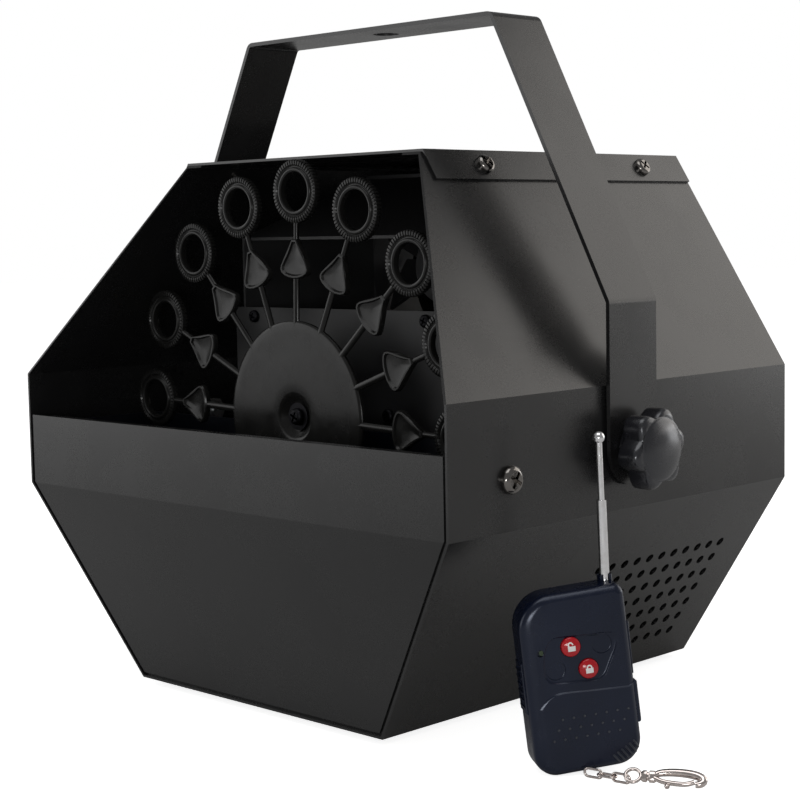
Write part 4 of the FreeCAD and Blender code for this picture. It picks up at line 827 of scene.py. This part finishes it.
def build_floor():
    """White sheet, lit enough to stay white, and grey to the object's reflections."""
    s = Shader("floor_paper")
    tint = s.mix(s.remap(s.noise(300, 3), 0.0, 1.0), (0.84, 0.84, 0.84), (0.9, 0.9, 0.9))
    own = s.tree.nodes.new("ShaderNodeMix")
    own.data_type = "RGBA"
    own.inputs[6].default_value = (*FLOOR_TO_OBJECT, 1.0)
    s.link(tint, own.inputs[7])
    s.link(seen_directly(s.tree), own.inputs[0])
    s.link(own.outputs[2], s.bsdf.inputs["Base Color"])
    s.link(s.math("MULTIPLY", seen_directly(s.tree), FLOOR_GLOW), s.bsdf.inputs["Emission Strength"])
    s.set(Roughness=0.8, Specular_IOR_Level=0.0, Emission_Color=(1, 1, 1, 1))
    bm = bmesh.new()
    reach = 6.0
    bm.faces.new([bm.verts.new(p) for p in ((-reach, -reach, 0), (reach, -reach, 0), (reach, reach, 0),
                                            (-reach, reach, 0))])
    mesh = bpy.data.meshes.new("floor")
    bm.to_mesh(mesh)
    bm.free()
    mesh.materials.append(s.material)
    floor = bpy.data.objects.new("floor", mesh)
    bpy.context.scene.collection.objects.link(floor)


def build_world():
    """White behind the object, dimmer as a source of light."""
    world = bpy.data.worlds.new("studio")
    world.use_nodes = True
    tree = world.node_tree
    background = tree.nodes["Background"]
    background.inputs["Color"].default_value = (1, 1, 1, 1)
    strength = tree.nodes.new("ShaderNodeMapRange")
    strength.inputs["To Min"].default_value = ROOM_LIGHT
    strength.inputs["To Max"].default_value = 1.0
    tree.links.new(seen_directly(tree), strength.inputs["Value"])
    tree.links.new(strength.outputs["Result"], background.inputs["Strength"])
    bpy.context.scene.world = world
    bpy.context.scene.view_settings.view_transform = "Standard"


def direction(azimuth, elevation, distance):
    """A place seen from the object's middle; azimuth runs from +Y towards +X."""
    a, e = math.radians(azimuth), math.radians(elevation)
    return Vector((math.sin(a) * math.cos(e), math.cos(a) * math.cos(e), math.sin(e))) * distance + MIDDLE


MIDDLE = Vector((0, 0, 0.12))
ROOM_LIGHT = 0.27
FLOOR_TO_OBJECT = (0.74, 0.74, 0.74)
FLOOR_GLOW = 0.85
WARM_LIGHT = (1.0, 0.955, 0.9)
# name: azimuth, elevation, distance, size, power
SOFT_BOXES = {
    "left": (-128, 12, 1.5, (1.6, 0.9), 6.7),
    "rear_right": (24, 21.5, 2.0, (1.7, 1.25), 10.4),
    "overhead": (150, 72, 1.5, (1.2, 1.0), 7.0),
    "glint": (140, 1.5, 1.9, (0.6, 0.3), 6.0),
    "low_right": (26, 2, 1.5, (0.6, 0.3), 1.3),
}


def build_studio():
    build_floor()
    build_world()
    for name, (azimuth, elevation, distance, size, power) in SOFT_BOXES.items():
        colour = WARM_LIGHT if name == "rear_right" else (1, 1, 1)
        add_light(name, direction(azimuth, elevation, distance), MIDDLE, size, power, colour)


# ---- clasp ---------------------------------------------------------------------------------------
CLASP_EYE_R = 3.2
CLASP_TURN = math.radians(28.0)    # the way it points, from +X towards +Y
CLASP_TILT = math.radians(38.0)    # it rests on its lever side


def tube(bm, path, radius, closed=False, sides=10):
    """Round wire along a path of points; radius is a number or one for each point."""
    count = len(path)
    loops = []
    for i, point in enumerate(path):
        before = path[(i - 1) % count] if closed or i > 0 else point
        after = path[(i + 1) % count] if closed or i < count - 1 else point
        along = (after - before).normalized()
        side = along.cross(Vector((0, 0, 1)))
        side = side.normalized() if side.length > 0.2 else along.cross(Vector((1, 0, 0))).normalized()
        upper = side.cross(along)
        size = radius[i] if isinstance(radius, (list, tuple)) else radius
        loops.append([point + (side * math.cos(a) + upper * math.sin(a)) * size
                      for a in (2 * math.pi * k / sides for k in range(sides))])
    rings = stack(bm, loops, not closed, not closed)
    if closed:
        bridge(bm, rings[-1], rings[0])


def build_clasp():
    """Swivel eye, barrel, and a lobster hook with its sprung lever, lying flat on the ground."""
    low, high = (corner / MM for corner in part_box("key_clasp"))
    eye = Vector((low.x + CLASP_EYE_R, low.y + CLASP_EYE_R, (low.z + high.z) / 2))
    along = Vector((math.cos(CLASP_TURN), math.sin(CLASP_TURN), 0))
    across = Vector((-along.y, along.x, 0)) * math.cos(CLASP_TILT) + Vector((0, 0, math.sin(CLASP_TILT)))
    lift = math.sin(CLASP_TILT) * 2.6

    def at(distance, sideways, height=0.0):
        return eye + along * distance + across * sideways + Vector((0, 0, height + lift))

    bm = bmesh.new()
    ring_turns = [2 * math.pi * i / 28 for i in range(28)]
    tube(bm, [at(2.6 * math.cos(a), 2.6 * math.sin(a)) for a in ring_turns], 0.6, closed=True)
    # distance from the eye and radius of the barrel the hook turns on
    barrel = ((2.7, 0.6), (2.8, 1.15), (3.4, 1.55), (4.6, 1.6), (4.9, 1.1), (5.3, 1.1), (5.6, 1.6),
              (7.2, 1.65), (7.8, 1.3))
    turns = [2 * math.pi * i / 20 for i in range(20)]
    stack(bm, [[at(d, r * math.cos(a), r * math.sin(a)) for a in turns] for d, r in barrel])
    # the fixed side bows out and curls round the tip
    hook = smooth_line(((7.0, 0.4), (9.0, 1.6), (13.0, 2.2), (17.5, 2.15), (21.0, 1.6), (23.2, 0.5),
                        (23.5, -0.8), (22.5, -1.7), (21.0, -2.0)), 4, closed=False)
    sizes = [1.05 + 0.4 * math.sin(math.pi * i / (len(hook) - 1)) for i in range(len(hook))]
    tube(bm, [at(d, w) for d, w in hook], sizes)
    # the lever closes the other side and carries a thumb knob
    lever = smooth_line(((7.2, -0.5), (10.0, -1.7), (14.0, -2.2), (17.6, -2.2), (20.6, -1.2)), 4,
                        closed=False)
    tube(bm, [at(d, w, 0.1) for d, w in lever], 0.85)
    tube(bm, [at(11.2, -1.9), at(11.6, -2.8, 0.1), at(11.8, -3.6, 0.2), at(11.9, -4.1, 0.2)],
         [0.7, 0.7, 0.95, 0.8])
    clasp = add_object("key_clasp_detail", bm, WARM_NICKEL, "remote", 45)
    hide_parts("key_clasp")


dress_cad_nodes()
build_wheel()
build_knob("knob_right", "knob_right", 1)
build_knob("knob_left", "knob_left", -1)
build_remote()
build_clasp()
build_studio()
add_camera()
